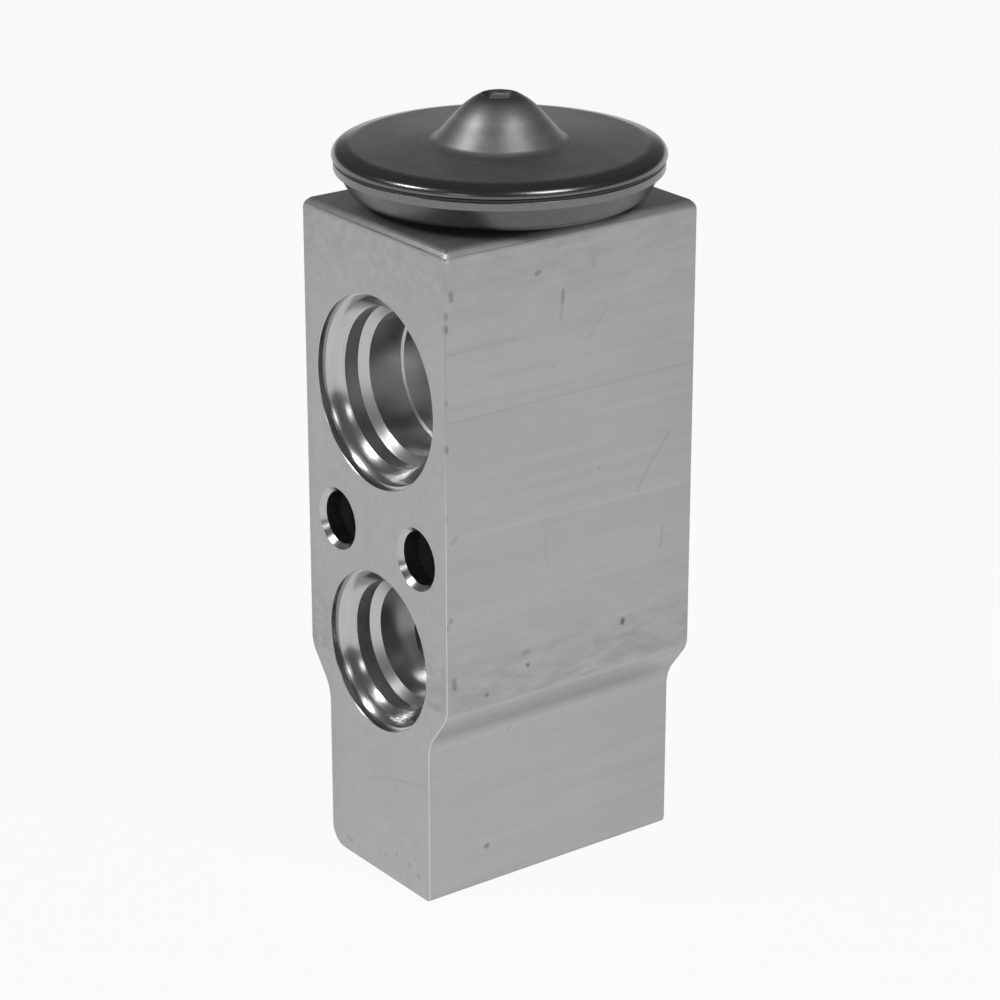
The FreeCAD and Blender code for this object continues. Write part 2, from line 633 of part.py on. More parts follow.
SUPPORT_TOP = DIAPHRAGM_BOTTOM
SUPPORT_DISC_BOTTOM = "body_height + bowl_floor_height + valve_stroke + stop_clearance"
SUPPORT_HUB_END = SUPPORT_DISC_BOTTOM + " - support_hub_length"
ROD_TOP = SUPPORT_HUB_END + " + rod_socket_depth"
PUSH_ROD_TOP = "rod_lower_end + push_rod_socket"
SEAT_EDGE = "chamber_top + seat_chamfer"
BALL_MIDDLE = SEAT_EDGE + " - sqrt(ball_radius * ball_radius - orifice_radius * orifice_radius) - ball_clearance"


def make_diaphragm_support():
    """Disc that the diaphragm presses on, with a slotted hub guided in the neck."""
    body = new_body("diaphragm_support")
    hub_radius = "neck_bore_radius - hub_clearance"
    disc = turn(body, "disc", [
        ("0", ROD_TOP),
        ("rod_radius + press_gap", ROD_TOP),
        ("rod_radius + press_gap", SUPPORT_HUB_END),
        (hub_radius, SUPPORT_HUB_END),
        (hub_radius, SUPPORT_DISC_BOTTOM),
        ("support_radius", SUPPORT_DISC_BOTTOM),
        ("support_radius", SUPPORT_TOP),
        ("0", SUPPORT_TOP),
    ])
    fillet(body, "disc_edge", "support_edge_round", disc, rings(disc, "support_radius", SUPPORT_TOP))
    sketch = new_sketch(body, "slot_outline", "XY_Plane", raised=SUPPORT_DISC_BOTTOM)
    inner = hub_radius + " - support_slot_depth"
    draw_outline(sketch, [
        (inner, "-support_slot_width / 2"),
        ("neck_bore_radius", "-support_slot_width / 2"),
        ("neck_bore_radius", "support_slot_width / 2"),
        (inner, "support_slot_width / 2"),
    ])
    slot = cut_straight(body, "slot", sketch, "support_hub_length")
    repeat_round(body, "slots", slot, 3)
    return body


def repeat_round(body, name, feature, count):
    """A feature repeated evenly about the valve's axis."""
    pattern = body.newObject("PartDesign::PolarPattern", name)
    pattern.Originals = [feature]
    axis = next(item for item in body.Origin.OriginFeatures if item.Role == "Z_Axis")
    pattern.Axis = (axis, [""])
    pattern.Angle = 360
    pattern.Occurrences = count
    body.Tip = pattern
    doc.recompute()
    return pattern


def make_sensing_rod():
    """Rod across the suction passage, pressed into the support, with a socket for the push rod."""
    body = new_body("sensing_rod")
    socket_radius = "push_rod_radius + press_gap"
    turn(body, "rod", [
        ("0", PUSH_ROD_TOP),
        (socket_radius, PUSH_ROD_TOP),
        (socket_radius, "rod_lower_end"),
        ("rod_radius - rod_chamfer", "rod_lower_end"),
        ("rod_radius", "rod_lower_end + rod_chamfer"),
        ("rod_radius", ROD_TOP + " - rod_chamfer"),
        ("rod_radius - rod_chamfer", ROD_TOP),
        ("0", ROD_TOP),
    ])
    return body


def make_push_rod():
    """Thin rod from the sensing rod through the orifice to the ball."""
    rod = doc.addObject("Part::Cylinder", "push_rod")
    bottom = BALL_MIDDLE + " + ball_radius"
    rod.setExpression("Radius", linked("push_rod_radius"))
    rod.setExpression("Height", linked("%s - (%s)" % (PUSH_ROD_TOP, bottom)))
    rod.setExpression("Placement.Base.z", linked(bottom))
    return rod


def make_valve_ball():
    """Ball under the seat."""
    ball = doc.addObject("Part::Sphere", "valve_ball")
    ball.setExpression("Radius", linked("ball_radius"))
    ball.setExpression("Placement.Base.z", linked(BALL_MIDDLE))
    return ball


def make_ball_carrier():
    """Cup with a right-angled cone for the ball, a flange for the spring and a stem inside the spring."""
    body = new_body("ball_carrier")
    cone_apex = BALL_MIDDLE + " - ball_radius * sqrt(2) - press_gap"
    cup_top = cone_apex + " + cup_mouth_radius"
    flange_bottom = "carrier_flange_top - carrier_flange_thickness"
    stem_end = flange_bottom + " - carrier_stem_length"
    turn(body, "carrier", [
        ("0", stem_end),
        ("carrier_stem_radius - stem_chamfer", stem_end),
        ("carrier_stem_radius", stem_end + " + stem_chamfer"),
        ("carrier_stem_radius", flange_bottom),
        ("carrier_flange_radius", flange_bottom),
        ("carrier_flange_radius", "carrier_flange_top"),
        ("cup_radius", "carrier_flange_top"),
        ("cup_radius", cup_top),
        ("cup_mouth_radius", cup_top),
        ("0", cone_apex),
    ])
    return body


def make_vibration_clip():
    """Thin ring on the carrier's flange with three upright legs that rub on the chamber's wall."""
    body = new_body("vibration_clip")
    ring_top = "carrier_flange_top + clip_thickness"
    turn(body, "ring", [
        ("cup_radius + press_gap", "carrier_flange_top"),
        ("clip_ring_radius", "carrier_flange_top"),
        ("clip_ring_radius", ring_top),
        ("cup_radius + press_gap", ring_top),
    ])
    sketch = new_sketch(body, "leg_outline", "YZ_Plane", raised="-clip_leg_width / 2")
    leg_outside = "chamber_radius - hub_clearance"
    leg_inside = leg_outside + " - clip_thickness"
    leg_top = ring_top + " + clip_leg_height"
    draw_outline(sketch, [
        ("cup_radius + clip_thickness", "carrier_flange_top"),
        ("clip_ring_radius", "carrier_flange_top"),
        (leg_outside + " - clip_edge_drop", ring_top + " + clip_thickness"),
        (leg_outside + " - clip_edge_drop", leg_top),
        (leg_inside + " - clip_edge_drop", leg_top),
        (leg_inside + " - clip_edge_drop", ring_top + " + clip_thickness * 2"),
        ("clip_ring_radius - clip_thickness", ring_top),
        ("cup_radius + clip_thickness", ring_top),
    ])
    leg = body.newObject("PartDesign::Pad", "leg")
    leg.Profile = sketch
    leg.setExpression("Length", linked("clip_leg_width"))
    doc.recompute()
    repeat_round(body, "legs", leg, 3)
    return body


# Seals

def make_rod_seal():
    """Ring seal in the pocket at the top of the partition."""
    middle = "rod_radius + running_clearance + rod_seal_section_radius"
    return ring_seal("rod_seal", middle, "rod_seal_section_radius", "seal_pocket_floor + rod_seal_section_radius")


def make_seal_retainer():
    """Washer pressed into the pocket over the rod's ring seal."""
    body = new_body("seal_retainer")
    lower = "seal_pocket_floor + rod_seal_section_radius * 2"
    turn(body, "washer", [
        ("rod_radius + hub_clearance", lower),
        ("seal_pocket_radius - press_gap", lower),
        ("seal_pocket_radius - press_gap", lower + " + retainer_thickness"),
        ("rod_radius + hub_clearance", lower + " + retainer_thickness"),
    ])
    return body


def make_valve_seat():
    """Steel ring pressed into the top of the chamber, chamfered where the ball closes."""
    body = new_body("valve_seat")
    turn(body, "seat_ring", [
        ("orifice_radius + seat_chamfer", "chamber_top"),
        ("seat_ring_radius", "chamber_top"),
        ("seat_ring_radius", "chamber_top + seat_ring_length"),
        ("orifice_radius", "chamber_top + seat_ring_length"),
        ("orifice_radius", SEAT_EDGE),
    ])
    return body


# Spring and adjusting screw

SPRING_BOTTOM = "spring_seat_bottom + spring_seat_flange"
SPRING_TOP = "carrier_flange_top - carrier_flange_thickness"
SCREW_THREAD_TOP = "screw_lower_end + screw_thread_length"


def make_valve_spring():
    """Coil of round wire, ground flat where it bears on the spring seat and on the carrier.

    The coil is wound past both ends by the part of the wire that the grinding takes off.
    """
    height = "(%s) - (%s)" % (SPRING_TOP, SPRING_BOTTOM)
    ground = "spring_wire_radius * 0.7"
    helix = doc.addObject("Part::Helix", "spring_line")
    helix.setExpression("Radius", linked("spring_radius"))
    helix.setExpression("Height", linked("%s + 2 * %s" % (height, ground)))
    helix.setExpression("Pitch", linked("(%s + 2 * %s) / spring_turns" % (height, ground)))
    wire = doc.addObject("Part::Circle", "spring_wire")
    wire.setExpression("Radius", linked("spring_wire_radius"))
    wire.setExpression("Placement.Base.x", linked("spring_radius"))
    wire.Placement.Rotation = FreeCAD.Rotation(FreeCAD.Vector(1, 0, 0), 90)
    coil = doc.addObject("Part::Sweep", "spring_coil")
    coil.Sections = [wire]
    coil.Spine = (helix, [])
    coil.Solid = True
    coil.Frenet = True
    coil.setExpression("Placement.Base.z", linked("%s - %s" % (SPRING_BOTTOM, ground)))
    between = doc.addObject("Part::Cylinder", "spring_space")
    between.setExpression("Radius", linked("chamber_radius"))
    between.setExpression("Height", linked(height))
    between.setExpression("Placement.Base.z", linked(SPRING_BOTTOM))
    spring = doc.addObject("Part::Common", "valve_spring")
    spring.Base = coil
    spring.Tool = between
    doc.recompute()
    return spring


def make_spring_seat():
    """Flanged disc between the screw's end and the spring, with a stub inside the spring."""
    body = new_body("spring_seat")
    stub_end = SPRING_BOTTOM + " + spring_seat_stub"
    turn(body, "seat_disc", [
        ("0", "spring_seat_bottom"),
        ("carrier_flange_radius", "spring_seat_bottom"),
        ("carrier_flange_radius", SPRING_BOTTOM),
        ("carrier_stem_radius", SPRING_BOTTOM),
        ("carrier_stem_radius", stub_end + " - stem_chamfer"),
        ("carrier_stem_radius - stem_chamfer", stub_end),
        ("0", stub_end),
    ])
    return body


def make_adjusting_screw():
    """Headless screw with a hexagon socket below, and above the thread a groove for its ring seal."""
    body = new_body("adjusting_screw")
    thread = "screw_bore_radius - thread_clearance"
    plain = "chamber_radius - hub_clearance"
    groove_bottom = "screw_lower_end + screw_groove_bottom"
    groove_top = groove_bottom + " + screw_groove_width"
    turn(body, "screw", [
        ("0", "screw_lower_end"),
        (thread + " - screw_chamfer", "screw_lower_end"),
        (thread, "screw_lower_end + screw_chamfer"),
        (thread, SCREW_THREAD_TOP + " - screw_chamfer"),
        (thread + " - screw_chamfer", SCREW_THREAD_TOP),
        (plain, SCREW_THREAD_TOP),
        (plain, groove_bottom),
        ("screw_groove_radius", groove_bottom),
        ("screw_groove_radius", groove_top),
        (plain, groove_top),
        (plain, "spring_seat_bottom - screw_chamfer"),
        (plain + " - screw_chamfer", "spring_seat_bottom"),
        ("0", "spring_seat_bottom"),
    ])
    sketch = new_sketch(body, "hexagon_outline", "XY_Plane", raised="screw_lower_end")
    corner = "hexagon_width / sqrt(3)"
    hexagon = [
        ("%s * cos(%d)" % (corner, angle), "%s * sin(%d)" % (corner, angle))
        for angle in range(0, 360, 60)
    ]
    draw_outline(sketch, hexagon)
    cut_straight(body, "hexagon_socket", sketch, "hexagon_depth", reverse=True)
    return body


def make_screw_seal():
    """Ring seal in the adjusting screw's groove."""
    middle = "chamber_radius - running_clearance - screw_seal_section_radius"
    level = "screw_lower_end + screw_groove_bottom + screw_groove_width / 2"
    return ring_seal("screw_seal", middle, "screw_seal_section_radius", level)


# Document

PIECES = [
    make_valve_body(),
    make_upper_cover(),
    make_charge_plug(),
    make_rim_weld(),
    make_diaphragm(),
    make_lower_cover(),
    make_head_gasket(),
    make_diaphragm_support(),
    make_sensing_rod(),
    make_push_rod(),
    make_valve_ball(),
    make_ball_carrier(),
    make_vibration_clip(),
    make_rod_seal(),
    make_seal_retainer(),
    make_valve_seat(),
    make_valve_spring(),
    make_spring_seat(),
    make_adjusting_screw(),
    make_screw_seal(),
]
doc.recompute()
for item in doc.Objects:
    if "Invalid" in item.State or "Error" in item.State:
        raise RuntimeError("%s failed: %s" % (item.Name, item.State))
for piece in PIECES:
    if piece.Shape.isNull() or not piece.Shape.isValid():
        raise RuntimeError(piece.Label + " has no valid shape")
    if len(piece.Shape.Solids) != 1:
        raise RuntimeError(piece.Label + " isn't one solid")

os.makedirs("parts", exist_ok=True)
for piece in PIECES:
    piece.Shape.exportStep("parts/%s.step" % piece.Label)
    print("%-20s %10.2f mm3" % (piece.Label, piece.Shape.Volume))
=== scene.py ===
import bpy
import bmesh
import math
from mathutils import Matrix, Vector


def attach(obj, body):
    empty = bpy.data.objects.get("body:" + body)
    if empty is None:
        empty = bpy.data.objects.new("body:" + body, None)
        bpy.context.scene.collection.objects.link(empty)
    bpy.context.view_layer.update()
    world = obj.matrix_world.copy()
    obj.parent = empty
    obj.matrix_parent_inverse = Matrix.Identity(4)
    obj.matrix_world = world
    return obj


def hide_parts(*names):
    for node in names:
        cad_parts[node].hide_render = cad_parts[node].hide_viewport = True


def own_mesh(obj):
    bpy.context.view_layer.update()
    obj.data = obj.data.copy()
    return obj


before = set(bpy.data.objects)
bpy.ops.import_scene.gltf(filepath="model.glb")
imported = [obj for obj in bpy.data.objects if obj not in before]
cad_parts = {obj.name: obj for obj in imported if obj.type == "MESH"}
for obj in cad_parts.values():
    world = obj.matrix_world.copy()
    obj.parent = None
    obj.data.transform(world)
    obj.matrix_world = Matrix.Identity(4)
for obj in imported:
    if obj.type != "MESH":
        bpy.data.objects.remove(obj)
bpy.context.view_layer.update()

# Block
# An extruded aluminium bar with a narrower foot, sawn to length and milled on its two port faces.
# Ports, clamp screw holes, neck socket and valve chamber are bored into it afterwards.

MM = 0.001
BODY_WIDTH = 28.0
BODY_DEPTH = 35.7
BODY_HEIGHT = 81.2
FOOT_WIDTH = 20.55
FOOT_HEIGHT = 20.5
SHOULDER_TOP = 25.27
SHOULDER_ANGLE = math.atan2((BODY_WIDTH - FOOT_WIDTH) / 2, SHOULDER_TOP - FOOT_HEIGHT)
SHOULDER_OUTER_ROUND = 3.0
SHOULDER_INNER_ROUND = 4.5
FOOT_LEFT_ROUND = 2.5
FOOT_RIGHT_ROUND = 0.8
TOP_CORNER_ROUND = 1.3
EDGE_BREAK = 0.16
FRONT = -BODY_DEPTH / 2
BACK = BODY_DEPTH / 2


def start_alone(piece):
    """Makes a piece the only selected and active one."""
    if bpy.context.object and bpy.context.object.mode != "OBJECT":
        bpy.ops.object.mode_set(mode="OBJECT")
    bpy.ops.object.select_all(action="DESELECT")
    piece.select_set(True)
    bpy.context.view_layer.objects.active = piece


def settle(piece):
    """Puts a piece's place, turn and scale into its mesh."""
    start_alone(piece)
    bpy.ops.object.transform_apply(location=True, rotation=True, scale=True)


def select_edges(piece, wanted):
    """In edit mode, selects the edges that pass a test and no others."""
    mesh = bmesh.from_edit_mesh(piece.data)
    for face in mesh.faces:
        face.select = False
    for edge in mesh.edges:
        edge.select = False
    for vertex in mesh.verts:
        vertex.select = False
    for edge in mesh.edges:
        if wanted(edge):
            edge.select = True
    mesh.select_flush(True)
    bmesh.update_edit_mesh(piece.data)


def runs_along_y(edge, across, up):
    """True for an edge along Y at this distance either side of the middle and this height, in millimetres."""
    start, end = (vertex.co for vertex in edge.verts)
    beside = abs(abs(start.x) - across * MM) < 1e-5 and abs(start.x - end.x) < 1e-5
    return beside and abs(start.z - up * MM) < 1e-5 and abs(end.z - up * MM) < 1e-5


def smooth(piece, degrees=32):
    """Smooth shading, apart from edges sharper than this."""
    start_alone(piece)
    bpy.ops.object.shade_smooth_by_angle(angle=math.radians(degrees))


def bored_by(piece, cutter):
    """Cuts a closed cutter out of a piece and deletes the cutter."""
    start_alone(piece)
    cut = piece.modifiers.new("bore", "BOOLEAN")
    cut.operation = "DIFFERENCE"
    cut.solver = "EXACT"
    cut.object = cutter
    bpy.ops.object.modifier_apply(modifier=cut.name)
    bpy.data.objects.remove(cutter, do_unlink=True)


def rounded(corners, steps=6):
    """Outline points with each corner (radius, height, round) replaced by an arc of its round."""
    points = []
    count = len(corners)
    for number, (across, up, size) in enumerate(corners):
        here = Vector((across, up))
        if not size or number in (0, count - 1):
            points.append((across, up))
            continue
        before = (Vector(corners[number - 1][:2]) - here).normalized()
        after = (Vector(corners[number + 1][:2]) - here).normalized()
        half = before.angle(after) / 2
        reach = size / math.tan(half)
        middle = here + (before + after).normalized() * (size / math.sin(half))
        start = here + before * reach - middle
        end = here + after * reach - middle
        turn = start.angle_signed(end)
        for step in range(steps + 1):
            angle = -turn * step / steps
            spoke = Vector((start.x * math.cos(angle) - start.y * math.sin(angle),
                            start.x * math.sin(angle) + start.y * math.cos(angle)))
            points.append(tuple(middle + spoke))
    return points


def turned(name, outline, along="Z", axis=(0, 0), segments=96, hollow=False):
    """Turned piece: a circle extruded and resized from point to point of an outline, in millimetres.

    The outline gives radius and place along the axis. Its ends are closed flat, or joined if hollow.
    """
    bpy.ops.object.select_all(action="DESELECT")
    lengthwise = Vector((0, 0, 1)) if along == "Z" else Vector((0, 1, 0))
    sideways = Vector((1, 1, 0)) if along == "Z" else Vector((1, 0, 1))
    foot = Vector((axis[0], axis[1], 0)) if along == "Z" else Vector((axis[0], 0, axis[1]))
    tilt = (0, 0, 0) if along == "Z" else (math.radians(90), 0, 0)
    radius, place = outline[0]
    bpy.ops.mesh.primitive_circle_add(vertices=segments, radius=radius * MM, rotation=tilt,
                                      location=(foot + lengthwise * place) * MM)
    piece = bpy.context.object
    piece.name = name
    settle(piece)
    bpy.ops.object.mode_set(mode="EDIT")
    bpy.ops.mesh.select_mode(type="VERT")
    bpy.ops.mesh.select_all(action="SELECT")
    if not hollow:
        bpy.ops.mesh.edge_face_add()
        bpy.ops.mesh.select_all(action="SELECT")
        bpy.ops.mesh.select_mode(type="EDGE")
    for next_radius, next_place in outline[1:]:
        move = lengthwise * (next_place - place) * MM
        bpy.ops.mesh.extrude_edges_move(TRANSFORM_OT_translate={"value": tuple(move)})
        ratio = next_radius / radius
        scale = Vector((1, 1, 1)) + sideways * (ratio - 1)
        bpy.ops.transform.resize(value=scale, center_override=(foot + lengthwise * next_place) * MM)
        radius, place = next_radius, next_place
    if not hollow:
        bpy.ops.mesh.edge_face_add()
    bpy.ops.mesh.select_all(action="SELECT")
    if hollow:
        bpy.ops.mesh.remove_doubles(threshold=1e-7)
    bpy.ops.mesh.normals_make_consistent(inside=False)
    bpy.ops.object.mode_set(mode="OBJECT")
    return piece


def port_steps(face, inwards, mouth, ring, pipe, depth):
    """Outline of a stepped port: mouth with a ledge, two lead-in cones, ring seal land, cone and pipe bore."""
    lead_end = MOUTH_DEPTH + LEAD_IN
    ring_end = RING_DEPTH + RING_WIDTH
    steps = (
        (mouth + MOUTH_LEDGE + 0.06 + OVERSHOOT, -OVERSHOOT), (mouth + MOUTH_LEDGE, 0.06),
        (mouth + MOUTH_LEDGE, MOUTH_DEPTH - 0.05), (mouth + 0.02, MOUTH_DEPTH), (mouth - LEAD_IN, lead_end),
        (mouth - LEAD_IN - 0.04, lead_end + LEAD_STEP), (ring, RING_DEPTH), (ring, ring_end),
        (pipe, ring_end + CONE_DEPTH), (pipe, depth),
    )
    return [(radius, face + inwards * place) for radius, place in steps]


bpy.ops.object.select_all(action="DESELECT")
bpy.ops.mesh.primitive_cube_add(size=1, location=(0, 0, BODY_HEIGHT / 2 * MM),
                                scale=(BODY_WIDTH * MM, BODY_DEPTH * MM, BODY_HEIGHT * MM))
block = bpy.context.object
block.name = "valve_block"
settle(block)
bpy.ops.object.mode_set(mode="EDIT")
for height in (FOOT_HEIGHT, SHOULDER_TOP):
    bpy.ops.mesh.select_all(action="SELECT")
    bpy.ops.mesh.bisect(plane_co=(0, 0, height * MM), plane_no=(0, 0, 1))
bpy.ops.mesh.select_mode(type="EDGE")
select_edges(block, lambda edge: all(vertex.co.z < (FOOT_HEIGHT + 0.1) * MM for vertex in edge.verts))
bpy.ops.transform.resize(value=(FOOT_WIDTH / BODY_WIDTH, 1, 1), center_override=(0, 0, 0))
bpy.ops.mesh.select_all(action="SELECT")
bpy.ops.mesh.dissolve_limited(angle_limit=math.radians(1))
lean = math.tan(SHOULDER_ANGLE / 2)
for across, up, reach, segments, sides in (
    (BODY_WIDTH / 2, BODY_HEIGHT, TOP_CORNER_ROUND, 8, (-1, 1)),
    (BODY_WIDTH / 2, SHOULDER_TOP, SHOULDER_OUTER_ROUND * lean, 8, (-1, 1)),
    (FOOT_WIDTH / 2, FOOT_HEIGHT, SHOULDER_INNER_ROUND * lean, 10, (-1, 1)),
    (FOOT_WIDTH / 2, 0, FOOT_LEFT_ROUND, 10, (-1,)),
    (FOOT_WIDTH / 2, 0, FOOT_RIGHT_ROUND, 6, (1,)),
):
    select_edges(block, lambda edge: runs_along_y(edge, across, up)
                 and math.copysign(1, edge.verts[0].co.x) in sides)
    bpy.ops.mesh.bevel(offset=reach * MM, segments=segments, affect="EDGES")
select_edges(block, lambda edge: len({round(abs(face.normal.y)) for face in edge.link_faces}) == 2)
bpy.ops.mesh.bevel(offset=EDGE_BREAK * MM, segments=2, affect="EDGES")
bpy.ops.mesh.select_all(action="SELECT")
NICK = Vector((0.264, -0.729, 0.631)).normalized()
nick_place = Vector((BODY_WIDTH / 2 - 0.4, FRONT + 0.4, BODY_HEIGHT - 0.58)) * MM
bpy.ops.mesh.bisect(plane_co=nick_place, plane_no=NICK, use_fill=True, clear_outer=True)
bpy.ops.object.mode_set(mode="OBJECT")

OVERSHOOT = 0.5
MOUTH_LEDGE = 0.3
MOUTH_DEPTH = 0.9
LEAD_IN = 0.6
LEAD_STEP = 0.12
RING_DEPTH = 2.5
RING_WIDTH = 1.85
CONE_DEPTH = 0.85
SUCTION_HEIGHT = 61.15
SUCTION_DEPTH = 9.7
PASSAGE_RADIUS = 8.1
INLET_HEIGHT = 28.95
OUTLET_HEIGHT = 30.9
LIQUID_DEPTH = 8.85
SUCTION_SIZES = (11.2, 9.55, 8.5, SUCTION_DEPTH)
LIQUID_SIZES = (9.5, 7.95, 6.9, LIQUID_DEPTH)
passage = [(PASSAGE_RADIUS, FRONT + SUCTION_DEPTH + 0.15), (PASSAGE_RADIUS, BACK - SUCTION_DEPTH - 0.15)]
suction = port_steps(FRONT, 1, *SUCTION_SIZES) + passage + port_steps(BACK, -1, *SUCTION_SIZES)[::-1]
bored_by(block, turned("suction_passage", suction, along="Y", axis=(0, SUCTION_HEIGHT)))
for name, face, inwards, height in (("inlet", FRONT, 1, INLET_HEIGHT), ("outlet", BACK, -1, OUTLET_HEIGHT)):
    bored_by(block, turned(name, port_steps(face, inwards, *LIQUID_SIZES), along="Y", axis=(0, height)))

DRILLINGS = (
    ("inlet_drilling", 28.2, 5.0, FRONT + LIQUID_DEPTH - CONE_DEPTH, -4.4),
    ("outlet_drilling", 35.0, 2.6, BACK - LIQUID_DEPTH + CONE_DEPTH, -2.6),
)
for name, height, radius, start, end in DRILLINGS:
    bored_by(block, turned(name, [(radius, start), (radius, end)], along="Y", axis=(0, height), segments=64))

HOLE_HEIGHT = 43.2
HOLE_SPACING = 15.9
HOLE_RADIUS = 3.2
HOLE_CHAMFER = 0.6
for side in (-1, 1):
    wide = HOLE_RADIUS + HOLE_CHAMFER + OVERSHOOT
    outline = [
        (wide, FRONT - OVERSHOOT), (HOLE_RADIUS, FRONT + HOLE_CHAMFER),
        (HOLE_RADIUS, BACK - HOLE_CHAMFER), (wide, BACK + OVERSHOOT),
    ]
    axis = (side * HOLE_SPACING / 2, HOLE_HEIGHT)
    bored_by(block, turned("clamp_hole", outline, along="Y", axis=axis, segments=64))

SOCKET = [(11.4, BODY_HEIGHT + OVERSHOOT), (11.4, 79.9), (10.0, 79.9), (10.0, 73.2), (6.0, 73.2), (6.0, SUCTION_HEIGHT)]
GUIDE = [(5.2, SUCTION_HEIGHT), (5.2, 50.1), (3.35, 50.1), (3.35, 47.0), (1.25, 47.0), (1.25, 35.0)]
CHAMBER = [
    (7.1, -OVERSHOOT), (6.0, 0.6), (6.0, 11.6), (5.5, 11.6), (5.5, 30.2), (3.41, 30.2), (3.41, 31.8),
    (1.8, 31.8), (1.8, 35.0),
]
for name, outline in (("neck_socket", SOCKET), ("rod_guide", GUIDE), ("valve_chamber", CHAMBER)):
    bored_by(block, turned(name, outline))
smooth(block)
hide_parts("valve_body")
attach(block, "block")


def hex_colour(text):
    """Linear colour of an sRGB hex value such as #8A8A8A."""
    channels = [int(text[place:place + 2], 16) / 255 for place in (1, 3, 5)]
    linear = [c / 12.92 if c <= 0.04045 else ((c + 0.055) / 1.055) ** 2.4 for c in channels]
    return (*linear, 1)


def add_node(material, kind, settings=None, **inputs):
    """Adds a node, makes its settings, and gives its inputs values or links them to sockets."""
    node = material.node_tree.nodes.new(kind)
    for name, setting in (settings or {}).items():
        setattr(node, name, setting)
    for name, given in inputs.items():
        socket = node.inputs[int(name[1:])] if name[1:].isdigit() else node.inputs[name.replace("_", " ")]
        if isinstance(given, bpy.types.NodeSocket):
            material.node_tree.links.new(given, socket)
        else:
            socket.default_value = given
    return node


def new_finish(name, colour, roughness, metallic=1.0):
    """Material with its shader, Object coordinates and output; the coordinates are in metres."""
    material = bpy.data.materials.new(name)
    material.use_nodes = True
    material.node_tree.nodes.clear()
    shader = add_node(material, "ShaderNodeBsdfPrincipled", Base_Color=hex_colour(colour),
                      Metallic=metallic, Roughness=roughness)
    shader.name = "shader"
    add_node(material, "ShaderNodeOutputMaterial", Surface=shader.outputs[0])
    place = add_node(material, "ShaderNodeTexCoord")
    place.name = "place"
    return material


def vary(material, scale, detail, spread, low, high, stretch=(1, 1, 1), socket="Roughness"):
    """Lets a noise of a real grain size, stretched along an axis, drive a socket of the metal between two values."""
    place = material.node_tree.nodes["place"].outputs["Object"]
    mapped = add_node(material, "ShaderNodeMapping", Vector=place, Scale=stretch)
    noise = add_node(material, "ShaderNodeTexNoise", Vector=mapped.outputs[0], Scale=1 / (scale * MM),
                     Detail=detail, Roughness=0.6)
    ranged = add_node(material, "ShaderNodeMapRange", Value=noise.outputs[0], From_Min=0.5 - spread,
                      From_Max=0.5 + spread, To_Min=low, To_Max=high)
    if socket:
        shader = material.node_tree.nodes["shader"]
        material.node_tree.links.new(ranged.outputs[0], shader.inputs[socket])
    return ranged.outputs[0]


def finish_on(piece, material):
    """Gives a piece one material."""
    piece.data.materials.clear()
    piece.data.materials.append(material)


def tint(material, dark, light, factor):
    """Lets a factor from 0 to 1 mix the metal's colour from dark to light."""
    mixed = add_node(material, "ShaderNodeMix", {"data_type": "RGBA"}, _0=factor, _6=hex_colour(dark),
                     _7=hex_colour(light))
    shader = material.node_tree.nodes["shader"]
    material.node_tree.links.new(mixed.outputs[2], shader.inputs["Base Color"])
    return mixed.outputs[2]


def raise_grain(material, height, distance, strength=1.0):
    """Bump from a height factor, in millimetres of relief."""
    shader = material.node_tree.nodes["shader"]
    bump = add_node(material, "ShaderNodeBump", Height=height, Distance=distance * MM, Strength=strength)
    material.node_tree.links.new(bump.outputs[0], shader.inputs["Normal"])


# Extruded aluminium: soft satin grey with faint die lines that run the length of the bar.
# The saw and handling leave smudges by both ends, and there are a few pits, nicks and scratches.
extruded = new_finish("extruded_aluminium", "#BDBDBD", 0.55)
place = extruded.node_tree.nodes["place"].outputs["Object"]
lines = vary(extruded, 1.1, 4, 0.22, 0.0, 1.0, stretch=(1, 0.03, 1), socket=None)
grain = vary(extruded, 0.35, 3, 0.25, 0.0, 1.0, socket=None)
cloud = vary(extruded, 9.0, 3, 0.25, 0.52, 0.58)
brushed = tint(extruded, "#B4B4B4", "#BBBBBB", lines)
axes = add_node(extruded, "ShaderNodeSeparateXYZ", Vector=place)
blot = vary(extruded, 1.5, 5, 0.13, 0.0, 1.0, stretch=(1, 0.4, 1.3), socket=None)
by_top = add_node(extruded, "ShaderNodeMapRange", Value=axes.outputs["Z"], From_Min=0.068, From_Max=0.079,
                  To_Max=0.6)
by_turn = add_node(extruded, "ShaderNodeMapRange", Value=axes.outputs["Z"], From_Min=0.036, From_Max=0.028,
                   To_Max=0.8)
over_foot = add_node(extruded, "ShaderNodeMath", {"operation": "GREATER_THAN"}, _0=axes.outputs["Z"], _1=0.0255)
turn_only = add_node(extruded, "ShaderNodeMath", {"operation": "MULTIPLY"}, _0=by_turn.outputs[0],
                     _1=over_foot.outputs[0])
dirty = add_node(extruded, "ShaderNodeMath", {"operation": "MAXIMUM"}, _0=by_top.outputs[0], _1=turn_only.outputs[0])
smudge = add_node(extruded, "ShaderNodeMath", {"operation": "MULTIPLY"}, _0=dirty.outputs[0], _1=blot)
# Painted shade: a soft dark band on the sides along the inner turn under the shoulder.
off_turn = add_node(extruded, "ShaderNodeMath", {"operation": "SUBTRACT"}, _0=axes.outputs["Z"],
                    _1=(FOOT_HEIGHT + 1.5) * MM)
off_turn = add_node(extruded, "ShaderNodeMath", {"operation": "ABSOLUTE"}, _0=off_turn.outputs[0])
in_turn = add_node(extruded, "ShaderNodeMapRange", {"interpolation_type": "SMOOTHSTEP"}, Value=off_turn.outputs[0],
                   From_Min=2.2 * MM, From_Max=0.2 * MM, To_Max=0.25)
sideways = add_node(extruded, "ShaderNodeMath", {"operation": "ABSOLUTE"}, _0=axes.outputs["X"])
